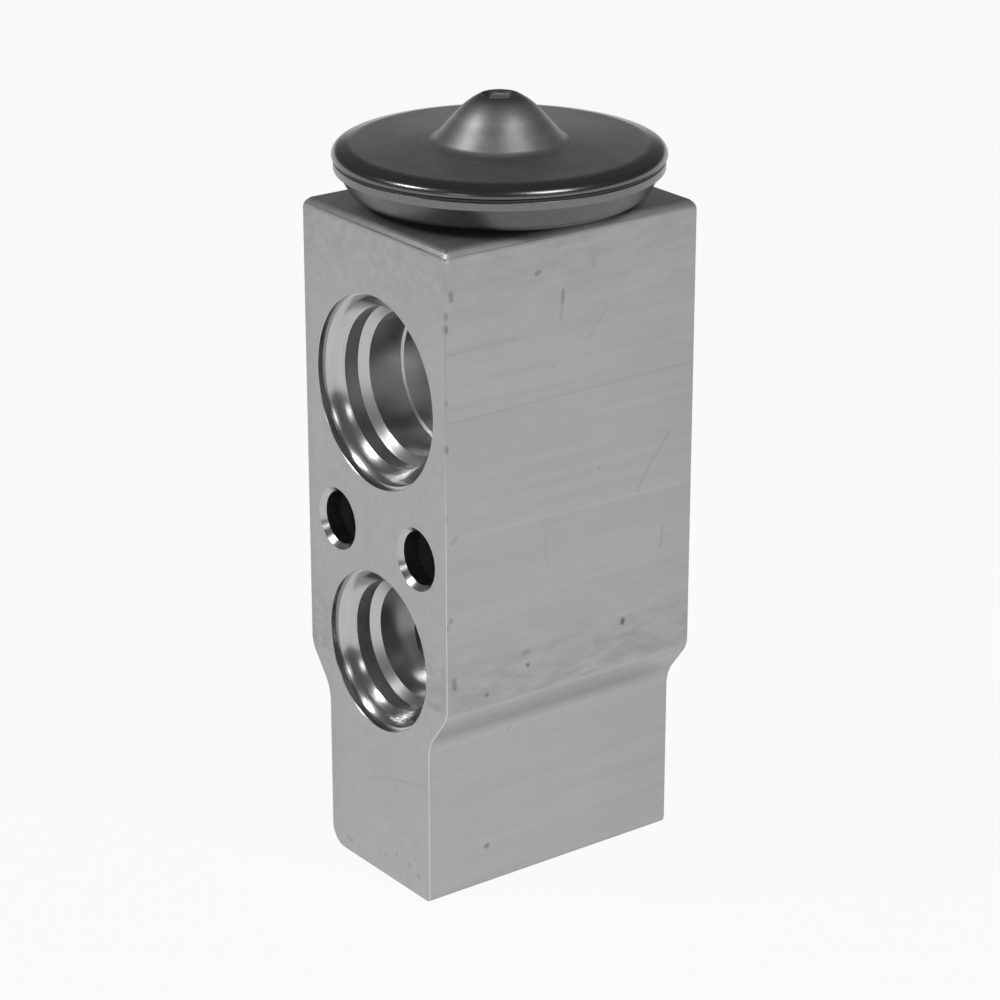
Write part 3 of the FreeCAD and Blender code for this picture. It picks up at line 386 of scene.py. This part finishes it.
on_side = add_node(extruded, "ShaderNodeMath", {"operation": "GREATER_THAN"}, _0=sideways.outputs[0], _1=9.9 * MM)
by_side = add_node(extruded, "ShaderNodeMath", {"operation": "ABSOLUTE"}, _0=axes.outputs["Y"])
not_face = add_node(extruded, "ShaderNodeMath", {"operation": "LESS_THAN"}, _0=by_side.outputs[0],
                    _1=(BACK - 0.2) * MM)
crease_shade = add_node(extruded, "ShaderNodeMath", {"operation": "MULTIPLY"}, _0=in_turn.outputs[0], _1=on_side.outputs[0])
crease_shade = add_node(extruded, "ShaderNodeMath", {"operation": "MULTIPLY"}, _0=crease_shade.outputs[0], _1=not_face.outputs[0])

# Start, end, width and depth of tone of each mark, in millimetres; a light mark has a negative tone.
SIDE = BODY_WIDTH / 2
FOOT_SIDE = FOOT_WIDTH / 2
MARKS = (
    ((SIDE, -17.8, 61.3), (SIDE, 17.8, 61.5), 0.3, 0.1), ((SIDE, -17.8, 69.3), (SIDE, -8.0, 69.5), 0.3, 0.1),
    ((SIDE, -17.6, 47.4), (SIDE, 15.8, 46.7), 0.5, -0.1), ((SIDE, -1.5, 73.8), (SIDE, -1.6, 72.4), 0.45, 0.36),
    ((SIDE, -1.6, 72.4), (SIDE, -1.9, 70.4), 0.4, 0.14), ((SIDE, 14.2, 53.3), (SIDE, 11.3, 49.8), 0.35, 0.13),
    ((SIDE, 11.3, 49.8), (SIDE, 9.7, 47.2), 0.35, 0.13), ((SIDE, 4.9, 70.7), (SIDE, 2.1, 67.4), 0.4, 0.08),
    ((SIDE, -4.1, 46.7), (SIDE, -3.5, 40.7), 0.4, 0.06), ((SIDE, 13.6, 41.8), (SIDE, 13.2, 39.1), 0.4, 0.14),
    ((SIDE, 3.9, 29.2), (SIDE, 9.8, 29.3), 0.9, 0.1), ((SIDE, -5.3, 76.4), (SIDE, -4.9, 76.6), 0.5, 0.42),
    ((SIDE, 2.6, 76.7), (SIDE, 3.0, 76.0), 0.5, 0.14), ((SIDE, 7.7, 31.2), (SIDE, 7.7, 30.9), 0.6, 0.8),
    ((SIDE, -6.4, 29.2), (SIDE, -6.3, 29.1), 0.5, 0.65), ((SIDE, -12.3, 26.9), (SIDE, -12.2, 26.9), 0.5, 0.5),
    ((SIDE, 3.9, 51.4), (SIDE, 3.9, 51.3), 0.5, 0.18), ((SIDE, -2.8, 65.1), (SIDE, -2.8, 65.0), 0.5, 0.15),
    ((SIDE, -6.9, 30.8), (SIDE, -6.3, 30.9), 0.5, 0.3), ((SIDE, -17.0, 47.0), (SIDE, -16.6, 47.4), 0.6, 0.2),
    ((SIDE - 0.2, FRONT + 0.2, 80.8), (SIDE - 0.2, FRONT + 0.2, 80.4), 0.9, -0.9),
    ((SIDE, -17.1, 76.3), (SIDE, -17.0, 75.6), 0.65, 0.42), ((SIDE, -16.9, 30.0), (SIDE, -16.8, 28.9), 0.6, 0.42),
    ((SIDE, FRONT, 74.0), (SIDE, FRONT, 73.7), 0.6, 0.5), ((SIDE, FRONT, 72.5), (SIDE, FRONT, 72.2), 0.65, 0.65),
    ((SIDE, FRONT, 63.9), (SIDE, FRONT, 63.6), 0.55, 0.4), ((SIDE, FRONT, 58.5), (SIDE, FRONT, 58.1), 0.6, 0.6),
    ((SIDE, FRONT, 50.2), (SIDE, FRONT, 50.0), 0.5, 0.35), ((SIDE, -17.3, 37.6), (SIDE, -17.3, 37.4), 0.5, 0.35),
    ((SIDE, FRONT, 36.8), (SIDE, FRONT, 36.5), 0.5, 0.35), ((FOOT_SIDE, -9.6, 5.1), (FOOT_SIDE, -9.5, 5.1), 0.6, 0.6),
    ((FOOT_SIDE, -6.4, 19.7), (FOOT_SIDE, -6.3, 19.7), 0.5, 0.2), ((-3.2, FRONT, 10.9), (-0.3, FRONT, 12.6), 0.4, 0.07),
    ((-0.3, FRONT, 12.6), (5.6, FRONT, 14.1), 0.4, 0.1), ((5.6, FRONT, 14.1), (9.4, FRONT, 14.8), 0.4, 0.1),
    ((-6.7, FRONT, 1.9), (-6.1, FRONT, 1.6), 0.6, 0.25), ((1.0, FRONT, 2.8), (1.2, FRONT, 2.8), 0.5, 0.2),
    ((3.4, FRONT, 3.8), (3.5, FRONT, 3.7), 0.5, 0.2), ((6.1, FRONT, 3.5), (6.1, FRONT, 3.3), 0.5, 0.25),
    ((7.8, FRONT, 2.7), (8.0, FRONT, 2.5), 0.5, 0.25),
)
dark_marks = light_marks = 0.0
for start, end, width, tone in MARKS:
    start, end = Vector(start) * MM, Vector(end) * MM
    run = end - start
    offset = add_node(extruded, "ShaderNodeVectorMath", {"operation": "SUBTRACT"}, _0=place, _1=start)
    along = add_node(extruded, "ShaderNodeVectorMath", {"operation": "DOT_PRODUCT"}, _0=offset.outputs[0],
                     _1=run / run.length_squared)
    held = add_node(extruded, "ShaderNodeClamp", Value=along.outputs["Value"])
    foot = add_node(extruded, "ShaderNodeVectorMath", {"operation": "SCALE"}, _0=run, Scale=held.outputs[0])
    off = add_node(extruded, "ShaderNodeVectorMath", {"operation": "DISTANCE"}, _0=offset.outputs[0],
                   _1=foot.outputs[0])
    faded = add_node(extruded, "ShaderNodeMapRange", Value=off.outputs["Value"], From_Min=width * 0.1 * MM,
                     From_Max=width * 0.8 * MM, To_Min=abs(tone), To_Max=0.0)
    if tone > 0:
        dark_marks = add_node(extruded, "ShaderNodeMath", {"operation": "MAXIMUM"}, _0=dark_marks,
                              _1=faded.outputs[0]).outputs[0]
    else:
        light_marks = add_node(extruded, "ShaderNodeMath", {"operation": "MAXIMUM"}, _0=light_marks,
                               _1=faded.outputs[0]).outputs[0]
smudged = add_node(extruded, "ShaderNodeMix", {"data_type": "RGBA"}, _0=smudge.outputs[0], _6=brushed,
                   _7=hex_colour("#A6A6A6"))
# Painted shade in the turn under the shoulder, mixed towards #8C8C8C.
crease_shaded = add_node(extruded, "ShaderNodeMix", {"data_type": "RGBA"}, _0=crease_shade.outputs[0], _6=smudged.outputs[2],
                 _7=hex_colour("#8C8C8C"))
lit = add_node(extruded, "ShaderNodeMix", {"data_type": "RGBA"}, _0=light_marks, _6=crease_shaded.outputs[2],
               _7=hex_colour("#E4E4E4"))
marked = add_node(extruded, "ShaderNodeMix", {"data_type": "RGBA"}, _0=dark_marks, _6=lit.outputs[2],
                  _7=hex_colour("#4C4C4C"))
extruded.node_tree.links.new(marked.outputs[2], extruded.node_tree.nodes["shader"].inputs["Base Color"])
relief = add_node(extruded, "ShaderNodeMath", {"operation": "MULTIPLY_ADD"}, _0=grain, _1=0.5, _2=lines)
pitted = add_node(extruded, "ShaderNodeMath", {"operation": "MULTIPLY_ADD"}, _0=dark_marks, _1=-6.0,
                  _2=relief.outputs[0])
raise_grain(extruded, pitted.outputs[0], 0.005)

# Turned aluminium in the bores, with fine rings from the tool. From 2.4 to 2.8 mm deep and beyond it is painted
# lighter, as painted light in the bore's shade: less in the two lower ports and on the cone before the pipe.
bored = new_finish("bored_aluminium", "#B4B4B4", 0.28)
rings = vary(bored, 0.5, 2, 0.25, 0.0, 1.0, stretch=(0.05, 1, 0.05), socket=None)
place = bored.node_tree.nodes["place"].outputs["Object"]
axes = add_node(bored, "ShaderNodeSeparateXYZ", Vector=place)
inwards = add_node(bored, "ShaderNodeMath", {"operation": "ABSOLUTE"}, _0=axes.outputs["Y"])
deep = add_node(bored, "ShaderNodeMapRange", Value=inwards.outputs[0], From_Min=(BACK - 2.4) * MM,
                From_Max=(BACK - 2.8) * MM)
mouths = tint(bored, "#B0B0B0", "#BEBEBE", rings)
in_liquid = add_node(bored, "ShaderNodeMath", {"operation": "LESS_THAN"}, _0=axes.outputs["Z"],
                     _1=HOLE_HEIGHT * MM)
# Painted light in the deep bores: #D6D6D6 in the suction port, #C8C8C8 in the two lower ports.
inside = add_node(bored, "ShaderNodeMix", {"data_type": "RGBA"}, _0=in_liquid.outputs[0],
                  _6=hex_colour("#D6D6D6"), _7=hex_colour("#C8C8C8"))
depth_painted_light = add_node(bored, "ShaderNodeMix", {"data_type": "RGBA"}, _0=deep.outputs[0], _6=mouths,
                  _7=inside.outputs[2])
past_land = add_node(bored, "ShaderNodeMath", {"operation": "LESS_THAN"}, _0=inwards.outputs[0],
                     _1=(BACK - RING_DEPTH - RING_WIDTH - 0.02) * MM)
before_pipe = add_node(bored, "ShaderNodeMath", {"operation": "GREATER_THAN"}, _0=inwards.outputs[0],
                       _1=(BACK - RING_DEPTH - RING_WIDTH - CONE_DEPTH + 0.02) * MM)
on_cone = add_node(bored, "ShaderNodeMath", {"operation": "MULTIPLY"}, _0=past_land.outputs[0],
                   _1=before_pipe.outputs[0])
# Less painted light on the cone before the pipe: #BCBCBC.
cones = add_node(bored, "ShaderNodeMix", {"data_type": "RGBA"}, _0=on_cone.outputs[0], _6=depth_painted_light.outputs[2],
                 _7=hex_colour("#BCBCBC"))
bored.node_tree.links.new(cones.outputs[2], bored.node_tree.nodes["shader"].inputs["Base Color"])
duller = add_node(bored, "ShaderNodeMapRange", Value=deep.outputs[0], To_Min=0.22, To_Max=0.3)
bored.node_tree.links.new(duller.outputs[0], bored.node_tree.nodes["shader"].inputs["Roughness"])
raise_grain(bored, rings, 0.01)

# Edge breaks round the port faces: a painted highlight along them, brighter low down than near the top, and darker
# along the top edge.
edge_highlight = new_finish("edge_highlight_aluminium", "#C8C8C8", 0.4)
axes = add_node(edge_highlight, "ShaderNodeSeparateXYZ", Vector=edge_highlight.node_tree.nodes["place"].outputs["Object"])
low_down = add_node(edge_highlight, "ShaderNodeMapRange", Value=axes.outputs["Z"], From_Min=0.062, From_Max=0.046)
# Painted highlight along the edge breaks, from #A4A4A4 above 62 mm to #D2D2D2 below 46 mm.
painted_edge_highlight = tint(edge_highlight, "#A4A4A4", "#D2D2D2", low_down.outputs[0])
at_top = add_node(edge_highlight, "ShaderNodeMath", {"operation": "GREATER_THAN"}, _0=axes.outputs["Z"],
                  _1=(BODY_HEIGHT - 0.3) * MM)
# Darker along the top edge, #868686.
edge_highlight_top_darker = add_node(edge_highlight, "ShaderNodeMix", {"data_type": "RGBA"}, _0=at_top.outputs[0], _6=painted_edge_highlight,
                _7=hex_colour("#868686"))
edge_highlight.node_tree.links.new(edge_highlight_top_darker.outputs[2], edge_highlight.node_tree.nodes["shader"].inputs["Base Color"])
vary(edge_highlight, 0.8, 3, 0.25, 0.3, 0.5)

finish_on(block, extruded)
block.data.materials.append(bored)
block.data.materials.append(edge_highlight)
BORES = (
    (0, SUCTION_HEIGHT, 11.6), (0, INLET_HEIGHT, 9.9), (0, OUTLET_HEIGHT, 9.9),
    (HOLE_SPACING / 2, HOLE_HEIGHT, 3.8), (-HOLE_SPACING / 2, HOLE_HEIGHT, 3.8),
)
for face in block.data.polygons:
    place = face.center / MM
    in_bore = any(math.hypot(place.x - x, place.z - z) < reach for x, z, reach in BORES)
    if in_bore and abs(place.y) < BODY_DEPTH / 2 - 0.01 and abs(place.x) < BODY_WIDTH / 2 - 1:
        face.material_index = 1
    elif face.normal.dot(NICK) > 0.999:
        face.material_index = 1
    # The edge breaks round the port faces take the painted edge highlight.
    elif abs(place.y) > BACK - EDGE_BREAK and 0.42 < abs(face.normal.y) < 0.98 and face.normal.z > -0.3:
        face.material_index = 2

# Power head
# Two stainless covers pressed from sheet, with the diaphragm between them, welded round the rim.
# The lower one has a threaded neck; the upper one has a hollow boss, closed by the charge plug.

LID_EDGE = BODY_HEIGHT + 6.55
DIAPHRAGM_UNDERSIDE = BODY_HEIGHT + 4.8
DIAPHRAGM_TOP = DIAPHRAGM_UNDERSIDE + 0.15
BOSS_FOOT = LID_EDGE + 0.3
BOSS_SHOULDER = BOSS_FOOT + 4.3
BOSS_CREST = BOSS_SHOULDER + 1.1
PLUG_SEAT = BOSS_CREST - 0.9
LID_OUTLINE = [
    (1.0, BOSS_CREST - 1.5, 0), (1.0, PLUG_SEAT, 0), (1.46, PLUG_SEAT, 0),
    (1.5, BOSS_CREST - 0.7, 0.1), (2.1, BOSS_CREST - 0.1, 0.3), (3.9, BOSS_SHOULDER, 9.0),
    (7.7, BOSS_FOOT, 1.3), (17.0, LID_EDGE, 2.5), (19.25, LID_EDGE - 0.5, 1.0),
    (19.25, DIAPHRAGM_TOP + 0.25, 0.08), (18.8, DIAPHRAGM_TOP, 0), (17.2, DIAPHRAGM_TOP, 0),
    (16.6, DIAPHRAGM_TOP + 0.5, 0.4), (7.4, DIAPHRAGM_TOP + 0.5, 0.5), (2.9, BOSS_CREST - 1.5, 0.4),
    (1.0, BOSS_CREST - 1.5, 0),
]
lid = turned("lid", rounded(LID_OUTLINE), segments=160, hollow=True)
smooth(lid, 40)
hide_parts("upper_cover")
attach(lid, "block")

PLUG_OUTLINE = [
    (0.99, PLUG_SEAT - 0.6, 0), (0.99, PLUG_SEAT, 0), (1.45, PLUG_SEAT, 0), (1.4, PLUG_SEAT + 0.2, 0.1),
    (1.15, PLUG_SEAT + 0.5, 0.3), (0.7, PLUG_SEAT + 0.66, 0.6), (0.05, PLUG_SEAT + 0.7, 0),
]
plug = turned("charge_plug_head", rounded(PLUG_OUTLINE), segments=64)
smooth(plug, 40)
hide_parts("charge_plug")
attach(plug, "block")

BOWL_OUTLINE = [
    (7.0, 73.6, 0), (9.54, 73.6, 0), (9.94, 74.0, 0), (9.94, BODY_HEIGHT, 0), (12.4, BODY_HEIGHT, 0.3),
    (17.05, BODY_HEIGHT + 0.9, 2.2), (18.65, DIAPHRAGM_UNDERSIDE - 1.15, 0.04),
    (19.05, DIAPHRAGM_UNDERSIDE - 1.05, 0.08), (19.05, DIAPHRAGM_UNDERSIDE - 0.15, 0.1),
    (18.8, DIAPHRAGM_UNDERSIDE, 0), (17.2, DIAPHRAGM_UNDERSIDE, 0), (16.15, BODY_HEIGHT + 2.1, 0.4),
    (7.6, BODY_HEIGHT + 2.1, 0), (7.0, BODY_HEIGHT + 1.5, 0), (7.0, 73.6, 0),
]
bowl = turned("lower_bowl", rounded(BOWL_OUTLINE), segments=160, hollow=True)
smooth(bowl, 40)
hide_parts("lower_cover")
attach(bowl, "block")

SEAM_OUTLINE = [
    (18.6, DIAPHRAGM_UNDERSIDE, 0), (18.8, DIAPHRAGM_UNDERSIDE, 0), (18.98, DIAPHRAGM_UNDERSIDE - 0.1, 0.05),
    (18.98, DIAPHRAGM_TOP + 0.1, 0.05), (18.8, DIAPHRAGM_TOP, 0), (18.6, DIAPHRAGM_TOP, 0),
    (18.6, DIAPHRAGM_UNDERSIDE, 0),
]
seam = turned("weld_seam", rounded(SEAM_OUTLINE), segments=160, hollow=True)
smooth(seam, 40)
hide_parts("rim_weld")
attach(seam, "block")

# Pressed stainless, satin: grey where it faces up, with faint rings from spinning in the press.
# The rim is drawn smoother and painted darker outside 17 mm, as painted shade on its rounded edge, and the boss is
# painted darker towards its crest, as painted shade.
satin = new_finish("satin_stainless", "#B4B4B4", 0.34)
place = satin.node_tree.nodes["place"].outputs["Object"]
axes = add_node(satin, "ShaderNodeSeparateXYZ", Vector=place)
flat = add_node(satin, "ShaderNodeCombineXYZ", X=axes.outputs["X"], Y=axes.outputs["Y"], Z=0.0)
radius = add_node(satin, "ShaderNodeVectorMath", {"operation": "LENGTH"}, _0=flat.outputs[0])
spun = add_node(satin, "ShaderNodeCombineXYZ", X=radius.outputs["Value"], Y=0.0, Z=0.0)
rings = add_node(satin, "ShaderNodeTexNoise", Vector=spun.outputs[0], Scale=1 / (0.9 * MM), Detail=4.0)
patches = vary(satin, 3.0, 4, 0.2, 0.0, 1.0, socket=None)
mottle = add_node(satin, "ShaderNodeMath", {"operation": "MULTIPLY_ADD"}, _0=rings.outputs[0], _1=2.2, _2=patches)
half = add_node(satin, "ShaderNodeMath", {"operation": "MULTIPLY"}, _0=mottle.outputs[0], _1=0.32)
covers = tint(satin, "#848484", "#BEBEBE", half.outputs[0])
# Painted shade: from 16.9 to 17.6 mm out the rounded rim turns to #6C6C6C.
to_rim = add_node(satin, "ShaderNodeMapRange", Value=radius.outputs["Value"], From_Min=16.9 * MM, From_Max=17.6 * MM)
rim_shaded = add_node(satin, "ShaderNodeMix", {"data_type": "RGBA"}, _0=to_rim.outputs[0], _6=covers,
                  _7=hex_colour("#6C6C6C"))
# Painted shade: within 4.4 mm of the axis the boss darkens towards its crest, to #6A6A6A.
to_crest = add_node(satin, "ShaderNodeMapRange", {"interpolation_type": "SMOOTHSTEP"},
                    Value=radius.outputs["Value"], From_Min=4.4 * MM, From_Max=1.9 * MM)
crest_shaded = add_node(satin, "ShaderNodeMix", {"data_type": "RGBA"}, _0=to_crest.outputs[0], _6=rim_shaded.outputs[2],
                  _7=hex_colour("#6A6A6A"))
satin.node_tree.links.new(crest_shaded.outputs[2], satin.node_tree.nodes["shader"].inputs["Base Color"])
on_boss = add_node(satin, "ShaderNodeMapRange", Value=radius.outputs["Value"], From_Min=9.0 * MM, From_Max=7.5 * MM,
                   To_Min=0.35, To_Max=0.44)
sheen = add_node(satin, "ShaderNodeMath", {"operation": "MULTIPLY_ADD"}, _0=to_rim.outputs[0], _1=-0.11,
                 _2=on_boss.outputs[0])
satin.node_tree.links.new(sheen.outputs[0], satin.node_tree.nodes["shader"].inputs["Roughness"])
raise_grain(satin, rings.outputs[0], 0.02)
finish_on(lid, satin)

# Drawn stainless of the lower cover: its lip is lighter, and the bowl under it is painted darker, as painted shade
# under the rim.
drawn = new_finish("drawn_stainless", "#8A8A8A", 0.3)
axes = add_node(drawn, "ShaderNodeSeparateXYZ", Vector=drawn.node_tree.nodes["place"].outputs["Object"])
# Painted shade: below the lip the bowl is #626262, the lip #7A7A7A.
on_lip = add_node(drawn, "ShaderNodeMapRange", Value=axes.outputs["Z"],
                  From_Min=(DIAPHRAGM_UNDERSIDE - 1.15) * MM, From_Max=(DIAPHRAGM_UNDERSIDE - 0.95) * MM)
tint(drawn, "#626262", "#7A7A7A", on_lip.outputs[0])
vary(drawn, 0.9, 4, 0.2, 0.26, 0.4)
scale = vary(drawn, 0.7, 4, 0.2, 0.0, 1.0, socket=None)
raise_grain(drawn, scale, 0.003)
finish_on(bowl, drawn)

# Weld seam: dull and dark, with the ripples of the pool.
welded = new_finish("weld_seam", "#4A4A4A", 0.5)
vary(welded, 0.4, 2, 0.25, 0.4, 0.6)
finish_on(seam, welded)

# Plug: bright ground steel.
bright = new_finish("ground_steel", "#C4C4C4", 0.26)
vary(bright, 0.8, 3, 0.25, 0.2, 0.32)
finish_on(plug, bright)

# Seals
# Moulded rings of nitrile rubber, which seal the neck, the rod and the adjusting screw.
# They are solid rings in the model already, so they only take their finish here.


def finish_nodes(names, material):
    """Puts a material in the slots of pieces whose model shape stays."""
    for name in names:
        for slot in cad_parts[name].material_slots:
            slot.material = material


rubber = new_finish("nitrile_rubber", "#1C1C1C", 0.55, metallic=0.0)
vary(rubber, 0.5, 3, 0.25, 0.45, 0.65)
tint(rubber, "#181818", "#262626", vary(rubber, 1.5, 3, 0.25, 0.0, 1.0, socket=None))
finish_nodes(("head_gasket", "rod_seal", "screw_seal"), rubber)

# Diaphragm, its support and the sensing rod
# The diaphragm is thin rolled stainless, bright with a faint grain one way.
# The support and the rod under it are turned from aluminium bar, with rings from the tool.
rolled = new_finish("rolled_stainless", "#B2B2B2", 0.24)
vary(rolled, 0.6, 3, 0.25, 0.18, 0.3, stretch=(1, 0.1, 1))
tint(rolled, "#A6A6A6", "#BABABA", vary(rolled, 1.2, 3, 0.25, 0.0, 1.0, stretch=(1, 0.1, 1), socket=None))
finish_nodes(("diaphragm",), rolled)

bar = new_finish("turned_aluminium", "#C6C6C6", 0.3)
rings = vary(bar, 0.4, 2, 0.25, 0.0, 1.0, stretch=(0.05, 0.05, 1), socket=None)
tint(bar, "#BCBCBC", "#CECECE", rings)
vary(bar, 0.8, 3, 0.25, 0.26, 0.38)
raise_grain(bar, rings, 0.008)
finish_nodes(("diaphragm_support", "sensing_rod"), bar)

# Ball, push rod and valve seat
# Hardened and ground steel: nearly a mirror, with only a trace of grain. The seat is pressed into the block.
hardened = new_finish("hardened_steel", "#BEBEBE", 0.14)
vary(hardened, 0.3, 3, 0.25, 0.1, 0.2)
tint(hardened, "#B6B6B6", "#C6C6C6", vary(hardened, 0.9, 3, 0.25, 0.0, 1.0, socket=None))
finish_nodes(("push_rod", "valve_ball", "valve_seat"), hardened)

# Ball carrier, spring seat, clip, retainer and spring
# Stamped and coiled steel, duller than the ground pieces, with a light mottle from the tumbling barrel.
tumbled = new_finish("tumbled_steel", "#9A9A9A", 0.36)
vary(tumbled, 0.5, 4, 0.22, 0.3, 0.44)
barrel = vary(tumbled, 0.9, 4, 0.22, 0.0, 1.0, socket=None)
tint(tumbled, "#8C8C8C", "#A6A6A6", barrel)
raise_grain(tumbled, barrel, 0.006)
finish_nodes(("ball_carrier", "vibration_clip", "seal_retainer", "spring_seat"), tumbled)

SPRING_FOOT = 16.3
SPRING_TOP = 24.0
SPRING_MEAN_RADIUS = 3.9
SPRING_WIRE_RADIUS = 0.55
SPRING_TURNS = 4
bpy.ops.object.select_all(action="DESELECT")
bpy.ops.mesh.primitive_circle_add(vertices=16, radius=SPRING_WIRE_RADIUS * MM, rotation=(math.radians(90), 0, 0),
                                  location=(SPRING_MEAN_RADIUS * MM, 0, (SPRING_FOOT + 0.1) * MM))
spring = bpy.context.object
spring.name = "coil_spring"
settle(spring)
coil = spring.modifiers.new("coil", "SCREW")
coil.angle = SPRING_TURNS * math.tau
coil.screw_offset = (SPRING_TOP - SPRING_FOOT - 0.2) * MM
coil.steps = coil.render_steps = SPRING_TURNS * 40
bpy.ops.object.modifier_apply(modifier=coil.name)
bpy.ops.object.mode_set(mode="EDIT")
bpy.ops.mesh.select_all(action="SELECT")
bpy.ops.mesh.fill_holes(sides=0)
for height, upwards in ((SPRING_FOOT, -1), (SPRING_TOP, 1)):
    bpy.ops.mesh.select_all(action="SELECT")
    bpy.ops.mesh.bisect(plane_co=(0, 0, height * MM), plane_no=(0, 0, upwards), use_fill=True, clear_outer=True)
bpy.ops.mesh.select_all(action="SELECT")
bpy.ops.mesh.normals_make_consistent(inside=False)
bpy.ops.object.mode_set(mode="OBJECT")
smooth(spring, 40)
finish_on(spring, tumbled)
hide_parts("valve_spring")
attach(spring, "spring_carrier")
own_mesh(spring)

# Adjusting screw
# Turned from brass bar: warm yellow, with rings from the tool and a hexagon for the key in its end.
brass = new_finish("turned_brass", "#C2A569", 0.3)
rings = vary(brass, 0.35, 2, 0.25, 0.0, 1.0, stretch=(0.05, 0.05, 1), socket=None)
tint(brass, "#B49455", "#CCB177", rings)
vary(brass, 0.8, 3, 0.25, 0.24, 0.38)
raise_grain(brass, rings, 0.008)
finish_nodes(("adjusting_screw",), brass)

# Scene
# Pale floor, pale surroundings that darken overhead, two soft side lamps, and the photograph's camera.

bpy.ops.object.select_all(action="DESELECT")
bpy.ops.mesh.primitive_plane_add(size=6, location=(0, 0, 0))
floor = bpy.context.object
floor.name = "floor"
paint = bpy.data.materials.new("floor_paint")
paint.use_nodes = True
paint.node_tree.nodes.clear()
matt = add_node(paint, "ShaderNodeBsdfDiffuse", Color=hex_colour("#F4F4F4"))
glow = add_node(paint, "ShaderNodeEmission", Color=(1, 1, 1, 1), Strength=1.0)
rays = add_node(paint, "ShaderNodeLightPath")
seen = add_node(paint, "ShaderNodeMath", {"operation": "MAXIMUM"}, _0=rays.outputs["Is Camera Ray"],
                _1=rays.outputs["Is Glossy Ray"])
share = add_node(paint, "ShaderNodeMath", {"operation": "MULTIPLY"}, _0=seen.outputs[0], _1=0.92)
both = add_node(paint, "ShaderNodeMixShader", _0=share.outputs[0], _1=matt.outputs[0], _2=glow.outputs[0])
side_seen = add_node(paint, "ShaderNodeNewGeometry")
from_below = add_node(paint, "ShaderNodeBsdfTransparent")
open_below = add_node(paint, "ShaderNodeMixShader", _0=side_seen.outputs["Backfacing"], _1=both.outputs[0],
                      _2=from_below.outputs[0])
add_node(paint, "ShaderNodeOutputMaterial", Surface=open_below.outputs[0])
finish_on(floor, paint)

world = bpy.data.worlds.new("surroundings")
bpy.context.scene.world = world
world.use_nodes = True
world.node_tree.nodes.clear()
direction = add_node(world, "ShaderNodeTexCoord")
parts = add_node(world, "ShaderNodeSeparateXYZ", Vector=direction.outputs["Generated"])
height = add_node(world, "ShaderNodeMapRange", Value=parts.outputs["Z"], From_Min=0.1, From_Max=0.15,
                  To_Min=1.0, To_Max=0.14)
sky = add_node(world, "ShaderNodeBackground", Color=(1, 1, 1, 1), Strength=height.outputs[0])
add_node(world, "ShaderNodeOutputWorld", Surface=sky.outputs[0])


def add_lamp(name, place, size, power):
    """Square soft lamp that points at the middle of the valve; place and size in metres."""
    bpy.ops.object.light_add(type="AREA", location=place)
    lamp = bpy.context.object
    lamp.name = name
    lamp.data.shape = "SQUARE"
    lamp.data.size = size
    lamp.data.energy = power
    aim = Vector((0, 0, 0.045)) - Vector(place)
    lamp.rotation_euler = aim.to_track_quat("-Z", "Y").to_euler()


add_lamp("left_lamp", (-0.25, -0.58, 0.67), 0.15, 2.0)
add_lamp("right_lamp", (0.60, 0.05, 0.70), 0.3, 2.4)
add_lamp("front_card", (0.347, -0.745, 0.41), 0.14, 0.25)

CAMERA_PLACE = Vector((295.79, -220.20, 187.34)) * MM
CAMERA_TARGET = Vector((0.032, 0.043, 43.862)) * MM
bpy.ops.object.camera_add(location=CAMERA_PLACE)
camera = bpy.context.object
camera.rotation_euler = (CAMERA_TARGET - CAMERA_PLACE).to_track_quat("-Z", "Y").to_euler()
camera.data.lens = 119.95
camera.data.sensor_width = 36
camera.data.clip_start = 0.01
camera.data.clip_end = 20
bpy.context.scene.camera = camera
bpy.context.scene.view_settings.view_transform = "Standard"
